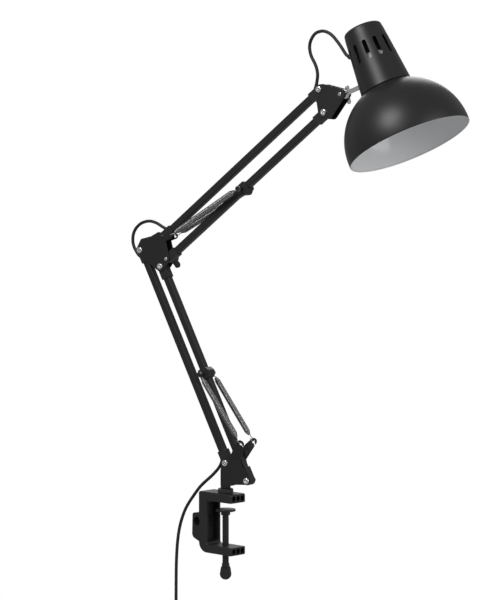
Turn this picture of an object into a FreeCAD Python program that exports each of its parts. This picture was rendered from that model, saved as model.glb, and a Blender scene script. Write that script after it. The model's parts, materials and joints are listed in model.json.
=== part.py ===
import FreeCAD, Part
import math
import os
import Sketcher
from FreeCAD import Placement, Rotation, Vector

# A spring-balanced clamp lamp: a table clamp, a swivelling bracket, two parallel-bar
# arms, and a ventilated shade on a tilting stem. Millimetres, +Z up. The origin lies on
# the swivel axis, at the underside of the clamp's upper jaw, which rests on the desk.
# +X points out of the clamp's mouth. The arm stands in a plane turned about +Z.

DIMENSIONS = (
    # the pose of the arm
    ("swivel_turn", 10.0), ("lower_angle", 116.5), ("upper_angle", 37.6), ("shade_tilt", 25.5),
    # the clamp
    ("jaw_reach", 23.4), ("jaw_back", 37.4), ("clamp_width", 27.7), ("clamp_opening", 59.0),
    ("upper_jaw", 12.0), ("lower_jaw", 11.2), ("spine_depth", 14.8), ("clamp_flange", 3.5),
    ("clamp_web", 5.0), ("heel_radius", 14.0), ("rib_pocket", 6.2), ("rib_depth", 9.0),
    ("boss_depth", 12.4), ("boss_inset", 0.9), ("cross_bore_radius", 6.05), ("cross_bore_drop", 29.5),
    ("lobe_radius", 7.0), ("lobe_drop", 46.5), ("socket_floor", 2.4),
    ("pad_radius", 13.5), ("pad_thickness", 3.0), ("pad_drop", 10.0), ("pad_hub_radius", 6.2),
    ("pad_hub_length", 5.0), ("spindle_radius", 4.3), ("spindle_length", 71.0), ("tip_radius", 3.0),
    ("knob_radius", 7.7), ("knob_height", 21.0), ("knob_thickness", 7.0), ("knob_round", 2.4),
    # the swivel
    ("post_radius", 6.0), ("post_collar", 6.7), ("bush_radius", 7.5), ("flange_height", 6.0),
    ("flange_radius", 8.6), ("lobe_reach", 7.6), ("lobe_round", 3.4),
    # bars and brackets
    ("arm_length", 315.0), ("tube_width", 9.5), ("tube_wall", 0.8), ("tube_round", 1.3),
    ("sleeve_width", 11.8), ("sleeve_thickness", 11.4), ("sleeve_length", 18.0), ("tube_start", 7.0),
    ("side_gap", 0.2), ("plate_thickness", 1.2),
    ("base_rear_x", 4.0), ("base_rear_z", 52.5), ("link_x", 34.0), ("link_z", -21.5),
    ("elbow_step_x", 10.0), ("elbow_step_z", 10.3), ("head_link_x", 7.3), ("head_link_z", -29.6),
    ("head_pivot_x", 32.7), ("head_pivot_z", -7.1), ("bracket_foot", 21.4), ("bend_height", 58.0),
    ("rear_lug", 5.4), ("front_lug", 5.2), ("elbow_lug", 6.0), ("knuckle_lug", 7.0),
    # fasteners
    ("bolt_radius", 2.0), ("bolt_head", 4.4), ("bolt_head_height", 2.4), ("nut_radius", 3.9),
    ("nut_height", 3.2), ("pivot_bolt", 2.5), ("running_gap", 0.08), ("fit_gap", 0.05),
    # springs
    ("spring_offset", 15.3), ("spring_radius", 3.3), ("wire_radius", 0.7), ("spring_turns", 22),
    ("eye_length", 7.4), ("hook_x", 34.5), ("hook_z", 81.0), ("hook_hole", 2.1), ("hook_rim", 5.2),
    ("collar_station", 155.5), ("collar_length", 15.0), ("collar_wall", 2.2), ("pin_radius", 2.0),
    ("pin_head", 3.0), ("pin_reach", 18.4), ("hook_play", 0.5),
    # the head
    ("stem_radius", 3.25), ("stem_length", 29.0), ("stem_height", 18.2), ("stem_inside", 7.0),
    ("eye_radius", 6.3), ("washer_thickness", 1.3), ("stem_nut", 4.8), ("stem_nut_height", 2.8),
    ("wing_hub", 4.0), ("wing_span", 12.0), ("wing_thickness", 2.0), ("wing_height", 8.5),
    ("neck_bottom", 33.0), ("neck_top", 24.5), ("neck_height", 81.0), ("neck_wall", 1.1),
    ("neck_round", 4.0), ("slot_width", 4.2), ("slot_length", 26.0), ("slot_low", 36.0),
    ("slot_count", 12), ("slot_phase", 18.0), ("dome_radius", 80.6), ("dome_depth", 79.5),
    ("dome_wall", 0.9), ("rim_bead", 1.8), ("collar_gap", 0.2), ("collar_height", 6.5),
    ("holder_radius", 19.5), ("holder_height", 49.0), ("holder_skirt", 14.0), ("holder_flange", 24.0),
    ("shell_radius", 13.45), ("shell_wall", 0.5), ("shell_depth", 34.0), ("ring_width", 5.5),
    ("gland_height", 57.0), ("gland_nose", 7.0), ("gland_radius", 3.6), ("gland_angle", 168.0),
    # the lead
    ("cord_radius", 2.15), ("cord_hole_near", 4.2), ("cord_hole_far", 17.0), ("cord_inside", 24.0),
    ("coil_radius", 35.0), ("coil_pitch", 5.0), ("coil_loops", 4), ("switch_length", 58.0), ("switch_width", 24.0),
    ("switch_thickness", 17.0), ("plug_length", 36.0), ("plug_width", 35.0), ("plug_thickness", 14.0),
    ("plug_pin_radius", 2.0), ("plug_pin_length", 19.0), ("plug_pin_spacing", 18.6),
)


class Size:
    """A number together with the sheet expression that it is worked out from."""

    def __init__(self, value, text):
        self.value = float(value)
        self.text = text

    def __float__(self):
        return self.value

    def __neg__(self):
        return Size(-self.value, "-(%s)" % self.text)

    def __add__(self, other):
        other = as_size(other)
        return Size(self.value + other.value, "(%s + %s)" % (self.text, other.text))

    def __sub__(self, other):
        other = as_size(other)
        return Size(self.value - other.value, "(%s - %s)" % (self.text, other.text))

    def __mul__(self, other):
        other = as_size(other)
        return Size(self.value * other.value, "(%s * %s)" % (self.text, other.text))

    def __truediv__(self, other):
        other = as_size(other)
        return Size(self.value / other.value, "(%s / %s)" % (self.text, other.text))

    def __radd__(self, other):
        return as_size(other) + self

    def __rsub__(self, other):
        return as_size(other) - self

    def __rmul__(self, other):
        return as_size(other) * self


def as_size(number):
    return number if isinstance(number, Size) else Size(number, repr(float(number)))


def root(size):
    return Size(math.sqrt(size.value), "sqrt(%s)" % size.text)


class Sheet:
    """The driving dimensions, kept in a spreadsheet and read back as Size values."""

    def __init__(self, document, rows):
        cells = document.addObject("Spreadsheet::Sheet", "sizes")
        self.known = {}
        for row, (alias, number) in enumerate(rows, start=1):
            cells.set("A%d" % row, alias)
            cells.set("B%d" % row, str(number))
            cells.setAlias("B%d" % row, alias)
            self.known[alias] = Size(number, "sizes.%s" % alias)

    def __getattr__(self, alias):
        return self.known[alias]


doc = FreeCAD.newDocument("clamp_lamp")
mm = Sheet(doc, DIMENSIONS)
doc.recompute()
nodes = []


# ---------------------------------------------------------------- drawing tools

def bind(item, name, size):
    """Sets a property and ties it to the sheet."""
    size = as_size(size)
    item.setExpression(name, size.text)


def new_body(label):
    return doc.addObject("PartDesign::Body", label)


def new_sketch(body, role, offset=None):
    """A sketch on one of the body's own origin planes, moved along the plane's normal."""
    sketch = body.newObject("Sketcher::SketchObject", body.Label + "_sketch")
    plane = [item for item in body.Origin.OriginFeatures if item.Role == role][0]
    sketch.AttachmentSupport = [(plane, "")]
    sketch.MapMode = "FlatFace"
    if offset is not None:
        sketch.AttachmentOffset = Placement(Vector(0, 0, float(offset)), Rotation())
        bind(sketch, "AttachmentOffset.Base.z", offset)
    return sketch


def pin_point(sketch, geometry, end, x, y):
    """Ties a point of the sketch to its two coordinates."""
    for kind, size in (("DistanceX", x), ("DistanceY", y)):
        size = as_size(size)
        number = sketch.addConstraint(Sketcher.Constraint(kind, -1, 1, geometry, end, size.value))
        sketch.setExpression("Constraints[%d]" % number, size.text)


def tie_radius(sketch, geometry, radius):
    number = sketch.addConstraint(Sketcher.Constraint("Radius", geometry, float(radius)))
    sketch.setExpression("Constraints[%d]" % number, as_size(radius).text)


def touch_points(first, second):
    """Where the straight edge between two round corners leaves one and meets the other."""
    x0, y0, r0 = [float(value) for value in first]
    x1, y1, r1 = [float(value) for value in second]
    reach = math.hypot(x1 - x0, y1 - y0)
    ahead = Vector((x1 - x0) / reach, (y1 - y0) / reach, 0)
    right = Vector(ahead.y, -ahead.x, 0)
    lean = (r0 - r1) / reach
    normal = ahead * lean + right * math.sqrt(1 - lean * lean)
    return Vector(x0, y0, 0) + normal * r0, Vector(x1, y1, 0) + normal * r1


def draw_outline(sketch, corners):
    """A closed outline, drawn counter-clockwise through corners (x, y, radius).

    A radius of zero is a sharp corner. Otherwise x and y are the middle of the
    corner's arc, which bulges outwards, or inwards where the radius is negative.
    """
    count = len(corners)
    edges = [touch_points(corners[k], corners[(k + 1) % count]) for k in range(count)]
    lines = [sketch.addGeometry(Part.LineSegment(start, end), False) for start, end in edges]
    for k, (x, y, radius) in enumerate(corners):
        before, after = lines[k - 1], lines[k]
        if float(radius) == 0:
            sketch.addConstraint(Sketcher.Constraint("Coincident", before, 2, after, 1))
            pin_point(sketch, after, 1, x, y)
            continue
        middle = Vector(float(x), float(y), 0)
        arrive, leave = edges[k - 1][1] - middle, edges[k][0] - middle
        circle = Part.Circle(middle, Vector(0, 0, 1), abs(float(radius)))
        ends = [math.atan2(arrive.y, arrive.x), math.atan2(leave.y, leave.x)]
        bulges = float(radius) > 0
        if not bulges:
            ends.reverse()
        if ends[1] <= ends[0]:
            ends[1] += 2 * math.pi
        arc = sketch.addGeometry(Part.ArcOfCircle(circle, ends[0], ends[1]), False)
        first, last = (1, 2) if bulges else (2, 1)
        sketch.addConstraint(Sketcher.Constraint("Tangent", before, 2, arc, first))
        sketch.addConstraint(Sketcher.Constraint("Tangent", arc, last, after, 1))
        pin_point(sketch, arc, 3, x, y)
        tie_radius(sketch, arc, abs(float(radius)) if not isinstance(radius, Size)
                   else (radius if bulges else -radius))


def draw_circle(sketch, x, y, radius):
    circle = Part.Circle(Vector(float(x), float(y), 0), Vector(0, 0, 1), float(radius))
    number = sketch.addGeometry(circle, False)
    pin_point(sketch, number, 3, x, y)
    tie_radius(sketch, number, radius)


def draw_box(sketch, left, low, right, high, radius=0.0):
    """A rectangle with equal round corners, or sharp ones."""
    draw_outline(sketch, [(left + radius, low + radius, radius), (right - radius, low + radius, radius),
                          (right - radius, high - radius, radius), (left + radius, high - radius, radius)])


def pad(body, sketch, length, both=True, reverse=False):
    feature = body.newObject("PartDesign::Pad", body.Label + "_pad")
    feature.Profile = sketch
    feature.SideType = "Symmetric" if both else "One side"
    feature.Reversed = reverse
    bind(feature, "Length", length)
    body.Tip = feature
    return feature


def pocket(body, sketch, length, both=True, reverse=False):
    """A cut, checked to have removed something."""
    doc.recompute()
    before = body.Shape.Volume
    feature = body.newObject("PartDesign::Pocket", body.Label + "_pocket")
    feature.Profile = sketch
    feature.SideType = "Symmetric" if both else "One side"
    feature.Reversed = reverse
    bind(feature, "Length", length)
    body.Tip = feature
    doc.recompute()
    if not body.Shape.Volume < before - 0.01:
        raise RuntimeError("a pocket of %s cuts nothing" % body.Label)
    return feature


def turned(label, corners):
    """A piece turned about its own Z axis, from an outline of (radius, height, rounding)."""
    body = new_body(label)
    sketch = new_sketch(body, "XZ_Plane")
    draw_outline(sketch, corners)
    feature = body.newObject("PartDesign::Revolution", label + "_turn")
    feature.Profile = sketch
    feature.ReferenceAxis = (sketch, ["V_Axis"])
    feature.Angle = 360.0
    body.Tip = feature
    return body


def round_edges(body, radius, chosen):
    """Rounds the edges of the body that a test picks out by their place."""
    doc.recompute()
    names = ["Edge%d" % (k + 1) for k, edge in enumerate(body.Shape.Edges) if chosen(edge)]
    if not names:
        raise RuntimeError("no edge of %s to round" % body.Label)
    solid = body.Tip
    feature = body.newObject("PartDesign::Fillet", body.Label + "_fillet")
    feature.Base = (solid, names)
    bind(feature, "Radius", radius)
    body.Tip = feature


def keep(item, label, place=Placement()):
    """Makes an object one of the lamp's own pieces."""
    item.Label = label
    item.Placement = place
    nodes.append(item)
    return item


def group(label, members):
    """Several solids in one node, such as a set of like fasteners."""
    item = doc.addObject("Part::Compound", label)
    item.Links = members
    return keep(item, label)


def joined(label, members):
    item = doc.addObject("Part::MultiFuse", label + "_joined")
    item.Shapes = members
    return item


# ---------------------------------------------------------------- places in the arm's plane

def turn_in_plane(angle):
    """A turn from +X towards +Z."""
    return Rotation(Vector(0, -1, 0), float(angle))


def in_arm_plane(point, angle=0.0, across=0.0):
    """The place of a piece whose own X runs along it, Z up from it and Y across the arm."""
    swing = Rotation(Vector(0, 0, 1), float(mm.swivel_turn))
    spot = Vector(point.x, float(across), point.z)
    return Placement(swing.multVec(spot), swing.multiply(turn_in_plane(angle)))


def offset(start, angle, ahead, aside=0.0):
    return start + turn_in_plane(angle).multVec(Vector(float(ahead), 0, float(aside)))


base_rear = Vector(float(mm.base_rear_x), 0, float(mm.base_rear_z))
base_front = base_rear + Vector(float(mm.link_x), 0, float(mm.link_z))
elbow_rear = offset(base_rear, mm.lower_angle, mm.arm_length)
elbow_front = offset(base_front, mm.lower_angle, mm.arm_length)
elbow_low = elbow_front + Vector(float(mm.elbow_step_x), 0, float(mm.elbow_step_z))
elbow_high = elbow_low - Vector(float(mm.head_link_x), 0, float(mm.head_link_z))
head_low = offset(elbow_low, mm.upper_angle, mm.arm_length)
head_high = offset(elbow_high, mm.upper_angle, mm.arm_length)
head_pivot = head_high + Vector(float(mm.head_pivot_x), 0, float(mm.head_pivot_z))

half_inside = mm.sleeve_thickness / 2 + mm.side_gap
half_outside = half_inside + mm.plate_thickness
hole_radius = mm.bolt_radius + mm.fit_gap
bore_radius = mm.bolt_radius + mm.running_gap


# ---------------------------------------------------------------- clamp

def make_clamp_frame():
    """The moulded C: two jaws, a channelled spine, and the cross bore's boss behind it."""
    body = new_body("clamp_frame_body")
    floor = -(mm.clamp_opening + mm.lower_jaw)
    inner = mm.spine_depth - mm.jaw_back
    sketch = new_sketch(body, "XZ_Plane")
    draw_outline(sketch, [
        (mm.heel_radius - mm.jaw_back, floor + mm.heel_radius, mm.heel_radius),
        (mm.jaw_reach - 2, floor + 2, 2),
        (mm.jaw_reach - 1.5, -mm.clamp_opening - 1.5, 1.5),
        (inner + 3, -mm.clamp_opening + 3, -3),
        (inner + 2, as_size(-2), -2),
        (mm.jaw_reach - 1.5, as_size(1.5), 1.5),
        (mm.jaw_reach - 3, mm.upper_jaw - 3, 3),
        (3 - mm.jaw_back, mm.upper_jaw - 3, 3)])
    pad(body, sketch, mm.clamp_width)
    side = float(mm.clamp_width) / 2
    top, low = float(mm.upper_jaw), float(floor)

    def outer_side(edge):
        box = edge.BoundBox
        on_side = abs(abs(box.YMin) - side) < 0.01 and box.YLength < 0.01
        at_top = box.ZMin > top - 3.01
        at_back = box.XMax < float(mm.heel_radius - mm.jaw_back) + 0.01
        return on_side and (at_top or at_back or box.ZMax < low + 2.01)

    round_edges(body, as_size(1.2), outer_side)

    sketch = new_sketch(body, "XZ_Plane")
    behind = -mm.jaw_back - mm.boss_depth
    draw_outline(sketch, [
        (-mm.jaw_back - mm.boss_depth / 2, -mm.lobe_drop, mm.lobe_radius),
        (3 - mm.jaw_back, -mm.lobe_drop - 9, 2),
        (3 - mm.jaw_back, 10 - mm.cross_bore_drop, 2),
        (behind + 3, 8 - mm.cross_bore_drop, 3)])
    pad(body, sketch, mm.clamp_width - 2 * mm.boss_inset)

    sketch = new_sketch(body, "XZ_Plane")
    draw_circle(sketch, -mm.jaw_back - mm.boss_depth / 3, -mm.cross_bore_drop, mm.cross_bore_radius)
    pocket(body, sketch, mm.clamp_width + 2)

    half_channel = mm.clamp_width / 2 - mm.clamp_flange
    sketch = new_sketch(body, "YZ_Plane", inner)
    draw_box(sketch, -half_channel, 3 - mm.clamp_opening, half_channel, as_size(-3), 2.5)
    pocket(body, sketch, mm.spine_depth - mm.clamp_web, both=False)

    sketch = new_sketch(body, "YZ_Plane", mm.clamp_web - mm.jaw_back)
    draw_box(sketch, as_size(-6), -mm.cross_bore_drop - 8, as_size(6), 8 - mm.cross_bore_drop, 1.0)
    pocket(body, sketch, as_size(1.4), both=False)

    sketch = new_sketch(body, "XY_Plane", mm.upper_jaw)
    draw_circle(sketch, as_size(0), as_size(0), mm.bush_radius + mm.fit_gap)
    pocket(body, sketch, mm.upper_jaw - mm.socket_floor, both=False)

    sketch = new_sketch(body, "XY_Plane", -mm.clamp_opening + 1)
    draw_circle(sketch, as_size(0), as_size(0), mm.spindle_radius + mm.running_gap)
    pocket(body, sketch, mm.lower_jaw + 2, both=False)

    for middle, high in ((mm.upper_jaw / 2, 1.0), (-mm.clamp_opening - mm.lower_jaw / 2, -1.0)):
        sketch = new_sketch(body, "YZ_Plane", mm.jaw_reach)
        for column in (-1, 0, 1):
            centre = as_size(column) * (mm.rib_pocket + 1.8)
            half = mm.rib_pocket / 2
            draw_box(sketch, centre - half, middle - 3.6, centre + half, middle + 3.6, 2.4)
        pocket(body, sketch, mm.rib_depth, both=False)
    keep(body, "clamp_frame")


def make_pivot_bush():
    """The lobed bush in the upper jaw, in which the post turns."""
    body = new_body("pivot_bush_body")
    sketch = new_sketch(body, "XY_Plane")
    draw_circle(sketch, as_size(0), as_size(0), mm.flange_radius)
    pad(body, sketch, mm.flange_height, both=False)
    sketch = new_sketch(body, "XY_Plane")
    for turn in range(4):
        across = (mm.lobe_reach, -mm.lobe_reach)[turn // 2]
        draw_circle(sketch, *((across, as_size(0)) if turn % 2 else (as_size(0), across)), mm.lobe_round)
    pad(body, sketch, mm.flange_height - 1, both=False)
    sketch = new_sketch(body, "XY_Plane")
    draw_circle(sketch, as_size(0), as_size(0), mm.bush_radius)
    pad(body, sketch, mm.upper_jaw - mm.socket_floor - 0.2, both=False, reverse=True)
    sketch = new_sketch(body, "XY_Plane", mm.flange_height + 1)
    draw_circle(sketch, as_size(0), as_size(0), mm.post_radius + mm.running_gap)
    pocket(body, sketch, mm.flange_height + mm.upper_jaw + 2, both=False)
    keep(body, "pivot_bush", Placement(Vector(0, 0, float(mm.upper_jaw)), Rotation()))


def make_clamp_screw():
    """The pressure pad, the threaded spindle that turns in it, and its thumb grip."""
    tip_room = 0.3
    hub_end = mm.pad_thickness + mm.pad_hub_length
    pad_top = Placement(Vector(0, 0, -float(mm.pad_drop)), Rotation())
    plate = turned("clamp_pad_body", [
        (0, -mm.pad_thickness + 0.8, 0), (mm.tip_radius + mm.running_gap, -mm.pad_thickness + 0.8, 0),
        (mm.tip_radius + mm.running_gap, -hub_end, 0), (mm.pad_hub_radius, -hub_end, 0),
        (mm.pad_hub_radius, -mm.pad_thickness, 0), (mm.pad_radius - 0.8, -mm.pad_thickness + 0.8, 0.8),
        (mm.pad_radius - 0.8, as_size(-0.8), 0.8), (0, 0, 0)])
    keep(plate, "clamp_pad", pad_top)
    shoulder = hub_end + tip_room
    foot = shoulder + mm.spindle_length
    spindle = turned("clamp_spindle_body", [
        (0, -foot, 0), (mm.spindle_radius - 1, -foot, 0), (mm.spindle_radius, -foot + 1, 0),
        (mm.spindle_radius, -shoulder, 0), (mm.tip_radius, -shoulder, 0),
        (mm.tip_radius, -mm.pad_thickness + 0.8 - tip_room, 0), (0, -mm.pad_thickness + 0.8 - tip_room, 0)])
    keep(spindle, "clamp_spindle", pad_top)
    body = new_body("thumb_knob_body")
    sketch = new_sketch(body, "XZ_Plane")
    draw_outline(sketch, [
        (as_size(0), -mm.knob_height + mm.knob_radius, mm.knob_radius),
        (as_size(0), -mm.knob_radius + 1, mm.knob_radius - 1)])
    pad(body, sketch, mm.knob_thickness)
    half = float(mm.knob_thickness) / 2
    round_edges(body, mm.knob_round, lambda edge: abs(abs(edge.BoundBox.YMin) - half) < 0.01
                and edge.BoundBox.YLength < 0.01)
    sketch = new_sketch(body, "XY_Plane", 1)
    draw_circle(sketch, as_size(0), as_size(0), mm.knob_thickness / 2 + 1.6)
    pad(body, sketch, as_size(5), both=False, reverse=True)
    sketch = new_sketch(body, "XY_Plane", 2)
    draw_circle(sketch, as_size(0), as_size(0), mm.spindle_radius)
    pocket(body, sketch, mm.pad_thickness + 4, both=False)
    grip = -float(mm.pad_drop + foot) + float(mm.pad_thickness) + 2
    keep(body, "thumb_knob", Placement(Vector(0, 0, grip), Rotation(Vector(0, 0, 1), 38)))


# ---------------------------------------------------------------- fasteners

def screw(label, place, reach, head, head_height):
    """A pan-head screw through both plates, its head on the near side (-Y)."""
    face = half_outside + head_height
    body = turned(label, [
        (0, -face, 0), (head - head_height * 0.6, -face + head_height * 0.6, head_height * 0.6),
        (head, -half_outside, 0), (mm.bolt_radius, -half_outside, 0),
        (mm.bolt_radius, reach, 0), (0, reach, 0)])
    body.Placement = place.multiply(Placement(Vector(), Rotation(Vector(1, 0, 0), -90)))
    return body


def hex_nut(label, place):
    """A nut on the far plate, round-cornered at its outer end."""
    body = new_body(label)
    sketch = new_sketch(body, "XZ_Plane", -half_outside)
    corners = []
    for side in range(6):
        turn = math.radians(60 * side)
        corners.append((mm.nut_radius * math.cos(turn), mm.nut_radius * math.sin(turn), 0))
    draw_outline(sketch, corners)
    draw_circle(sketch, as_size(0), as_size(0), mm.bolt_radius)
    pad(body, sketch, mm.nut_height, both=False, reverse=True)
    body.Placement = place
    return body


def make_bolts(name, pivots, place_of):
    """The screws and nuts of one bracket, at its plain pivots."""
    tail = half_outside + mm.nut_height + 0.6
    screws = [screw("%s_screw_%d" % (name, k), place_of(pivot), tail, mm.bolt_head, mm.bolt_head_height)
              for k, pivot in enumerate(pivots)]
    nuts = [hex_nut("%s_nut_%d" % (name, k), place_of(pivot)) for k, pivot in enumerate(pivots)]
    return screws, nuts


def spring_pin(label, place):
    """A cross pin whose ends stand out both sides to hold a spring's eye."""
    neck = mm.spring_offset + mm.wire_radius + 0.5
    body = turned(label, [
        (0, -mm.pin_reach, 0), (mm.pin_head - 0.6, -mm.pin_reach + 0.6, 0.6), (mm.pin_head, -neck, 0),
        (mm.pin_radius, -neck, 0), (mm.pin_radius, neck, 0), (mm.pin_head, neck, 0),
        (mm.pin_head - 0.6, mm.pin_reach - 0.6, 0.6), (0, mm.pin_reach, 0)])
    keep(body, label, place.multiply(Placement(Vector(), Rotation(Vector(1, 0, 0), -90))))


def winged(label, place, hub, hub_height, span, thickness, height, bolt):
    """A wing nut or wing knob on the far side: a tapered hub and two rounded wings."""
    body = new_body(label)
    sketch = new_sketch(body, "XZ_Plane", -half_outside - mm.fit_gap)
    draw_circle(sketch, as_size(0), as_size(0), hub)
    pad(body, sketch, hub_height, both=False, reverse=True)
    sketch = new_sketch(body, "YZ_Plane")
    start = half_outside + 1.2
    ear = span * 0.33
    for side in (1, -1):
        tip = (half_outside + height - ear, side * (span - ear), ear)
        root_low = (start, as_size(0), 0)
        root_high = (half_outside + hub_height, side * (hub * 0.4), 0)
        toe = (start + 0.8, side * hub, 0)
        corners = [root_low, toe, tip, root_high] if side > 0 else [root_low, root_high, tip, toe]
        corners = [corners[0]] + corners[:0:-1]
        draw_outline(sketch, corners)
    pad(body, sketch, thickness)
    sketch = new_sketch(body, "XZ_Plane")
    draw_circle(sketch, as_size(0), as_size(0), bolt + mm.running_gap)
    pocket(body, sketch, 4 * (half_outside + height))
    keep(body, label, place)


# ---------------------------------------------------------------- brackets

def plate(label, corners, holes, side):
    """One flat side plate of a bracket; side is -1 for the near one, 1 for the far one."""
    body = new_body(label + "_body")
    middle = -side * (half_inside + mm.plate_thickness / 2)
    sketch = new_sketch(body, "XZ_Plane", middle)
    draw_outline(sketch, corners)
    for x, z, radius in holes:
        draw_circle(sketch, x, z, radius)
    pad(body, sketch, mm.plate_thickness)
    return body


def make_base_bracket():
    """The folded bracket: two plates, a web behind the post, and two splayed spring ears."""
    front_x, front_z = mm.base_rear_x + mm.link_x, mm.base_rear_z + mm.link_z
    body = new_body("base_bracket_fold")
    sketch = new_sketch(body, "XZ_Plane")
    draw_outline(sketch, [
        (as_size(-2.5), mm.bracket_foot + 1, 1),
        (as_size(9.5), mm.bracket_foot, 0),
        (as_size(11.8), mm.bracket_foot + 2.6, 0),
        (front_x, front_z, mm.front_lug),
        (front_x + 3.6, mm.bend_height - 2.4, as_size(-12)),
        (as_size(28.6), mm.bend_height, 0),
        (as_size(10.5), mm.bend_height, 0),
        (mm.base_rear_x, mm.base_rear_z, mm.rear_lug),
        (as_size(-3.5), mm.base_rear_z - 10, 0)])
    draw_circle(sketch, mm.base_rear_x, mm.base_rear_z, hole_radius)
    draw_circle(sketch, front_x, front_z, hole_radius)
    pad(body, sketch, 2 * half_outside)
    sketch = new_sketch(body, "XZ_Plane")
    draw_box(sketch, mm.plate_thickness - 3.5, mm.bracket_foot - 5, front_x + 30, mm.bend_height + 30)
    pocket(body, sketch, 2 * half_inside)

    plate_middle = half_inside + mm.plate_thickness / 2
    lean = math.atan2(float(mm.spring_offset - plate_middle), float(mm.hook_z - mm.bend_height))
    reach = root((mm.spring_offset - plate_middle) * (mm.spring_offset - plate_middle)
                 + (mm.hook_z - mm.bend_height) * (mm.hook_z - mm.bend_height))
    ears = []
    for side in (-1, 1):
        ear = new_body("base_ear_%s" % ("near" if side < 0 else "far"))
        sketch = new_sketch(ear, "XZ_Plane")
        draw_outline(sketch, [
            (as_size(10.5), as_size(-0.1), 0), (as_size(28.6), as_size(-0.1), 0),
            (mm.hook_x, reach, mm.hook_rim), (mm.hook_x - 9, reach - 6, 3)])
        draw_circle(sketch, mm.hook_x, reach, mm.hook_hole)
        pad(ear, sketch, mm.plate_thickness)
        sketch = new_sketch(ear, "XZ_Plane")
        draw_outline(sketch, [
            (mm.hook_x, reach - 0.8, 0), (mm.hook_x + 4.2, reach - 7.2, 0),
            (mm.hook_x + 5.8, reach - 6.2, 0), (mm.hook_x + 1.6, reach + 0.2, 0)])
        pocket(ear, sketch, 3 * mm.plate_thickness)
        ear.Placement = Placement(Vector(0, side * float(plate_middle), float(mm.bend_height)),
                                  Rotation(Vector(1, 0, 0), -side * math.degrees(lean)))
        ears.append(ear)
    keep(joined("base_bracket", [body] + ears), "base_bracket", in_arm_plane(Vector()))


def make_base_post():
    """The swivel post, with the block that is welded between the bracket's plates."""
    foot = mm.socket_floor + 0.3
    shoulder = mm.upper_jaw + mm.flange_height + 0.3
    body = turned("base_post_body", [
        (0, foot, 0), (mm.post_radius - 1, foot, 0), (mm.post_radius, foot + 1, 0),
        (mm.post_radius, shoulder, 0), (mm.post_collar, shoulder, 0),
        (mm.post_collar, mm.bracket_foot, 0), (0, mm.bracket_foot, 0)])
    sketch = new_sketch(body, "XY_Plane", mm.bracket_foot)
    draw_box(sketch, mm.plate_thickness - 3.5, -half_inside, as_size(8.5), half_inside)
    pad(body, sketch, as_size(16.5), both=False)
    keep(body, "base_post", in_arm_plane(Vector()))


def make_elbow_plates():
    """The two elbow plates, the far one taller at the back."""
    low_x, low_z = mm.link_x + mm.elbow_step_x, mm.link_z + mm.elbow_step_z
    high_x, high_z = low_x - mm.head_link_x, low_z - mm.head_link_z
    shared = [
        (as_size(0), as_size(0), mm.elbow_lug), (mm.link_x, mm.link_z, mm.elbow_lug + 1),
        (low_x, low_z, mm.rear_lug), (high_x, high_z, mm.front_lug - 0.6)]
    peak = [(high_x - 14.8, high_z + 3.2, as_size(3))]
    back = [(as_size(4.1), as_size(12.1), as_size(3.5))]
    holes = [(x, z, hole_radius) for x, z in (
        (as_size(0), as_size(0)), (mm.link_x, mm.link_z), (low_x, low_z), (high_x, high_z))]
    place = in_arm_plane(elbow_rear)
    keep(plate("elbow_plate_near", shared + back, holes, -1), "elbow_plate_near", place)
    keep(plate("elbow_plate_far", shared + peak + back, holes, 1), "elbow_plate_far", place)


def make_head_plates():
    """The two plates that carry the head's pivot."""
    corners = [
        (as_size(0), as_size(0), mm.rear_lug + 0.8), (mm.head_link_x, mm.head_link_z, mm.knuckle_lug + 1.2),
        (mm.head_link_x + 7.2, mm.head_link_z - 3.4, as_size(5.5)),
        (mm.head_pivot_x, mm.head_pivot_z, mm.knuckle_lug), (as_size(6.3), as_size(2.5), as_size(4.2))]
    holes = [(as_size(0), as_size(0), hole_radius), (mm.head_link_x, mm.head_link_z, hole_radius),
             (mm.head_pivot_x, mm.head_pivot_z, mm.pivot_bolt + mm.fit_gap)]
    for name, side in (("near", -1), ("far", 1)):
        keep(plate("head_plate_" + name, corners, holes, side), "head_plate_" + name,
             in_arm_plane(head_high))


def make_bracket_fasteners():
    for name, pivots in (("base", (base_rear, base_front)), ("head", (head_high, head_low))):
        screws, nuts = make_bolts(name, pivots, in_arm_plane)
        group(name + "_bolts", screws)
        group(name + "_nuts", nuts)
    screws, nuts = make_bolts("elbow", (elbow_rear, elbow_front), in_arm_plane)
    knob_screw = screw("elbow_knob_screw", in_arm_plane(elbow_low),
                       half_outside + mm.wing_height, mm.bolt_radius + 0.5, as_size(1.2))
    group("elbow_bolts", screws + [knob_screw])
    group("elbow_nuts", nuts)
    spring_pin("elbow_spring_pin", in_arm_plane(elbow_high))
    winged("elbow_knob", in_arm_plane(elbow_low, 62), mm.wing_hub + 2, as_size(9), mm.wing_span + 1,
           mm.wing_thickness + 3, mm.wing_height + 6, mm.bolt_radius)


# ---------------------------------------------------------------- bars

def square_tube(label, place, has_lead):
    """A square tube from end fitting to end fitting, holed for the lead or for a spring pin."""
    body = new_body(label + "_body")
    length = mm.arm_length - 2 * mm.tube_start
    sketch = new_sketch(body, "YZ_Plane", mm.tube_start)
    half = mm.tube_width / 2
    draw_box(sketch, -half, -half, half, half, mm.tube_round)
    draw_box(sketch, -half + mm.tube_wall, -half + mm.tube_wall, half - mm.tube_wall,
             half - mm.tube_wall, mm.tube_round - mm.tube_wall / 2)
    pad(body, sketch, length, both=False)
    if has_lead:
        sketch = new_sketch(body, "XY_Plane")
        draw_cord_slot(sketch, as_size(0), 1)
        draw_cord_slot(sketch, mm.arm_length, -1)
        pocket(body, sketch, mm.tube_width, both=False, reverse=True)
    else:
        sketch = new_sketch(body, "XZ_Plane")
        draw_circle(sketch, mm.collar_station, as_size(0), mm.pin_radius + mm.fit_gap)
        pocket(body, sketch, 2 * mm.tube_width)
    keep(body, label, place)


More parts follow.
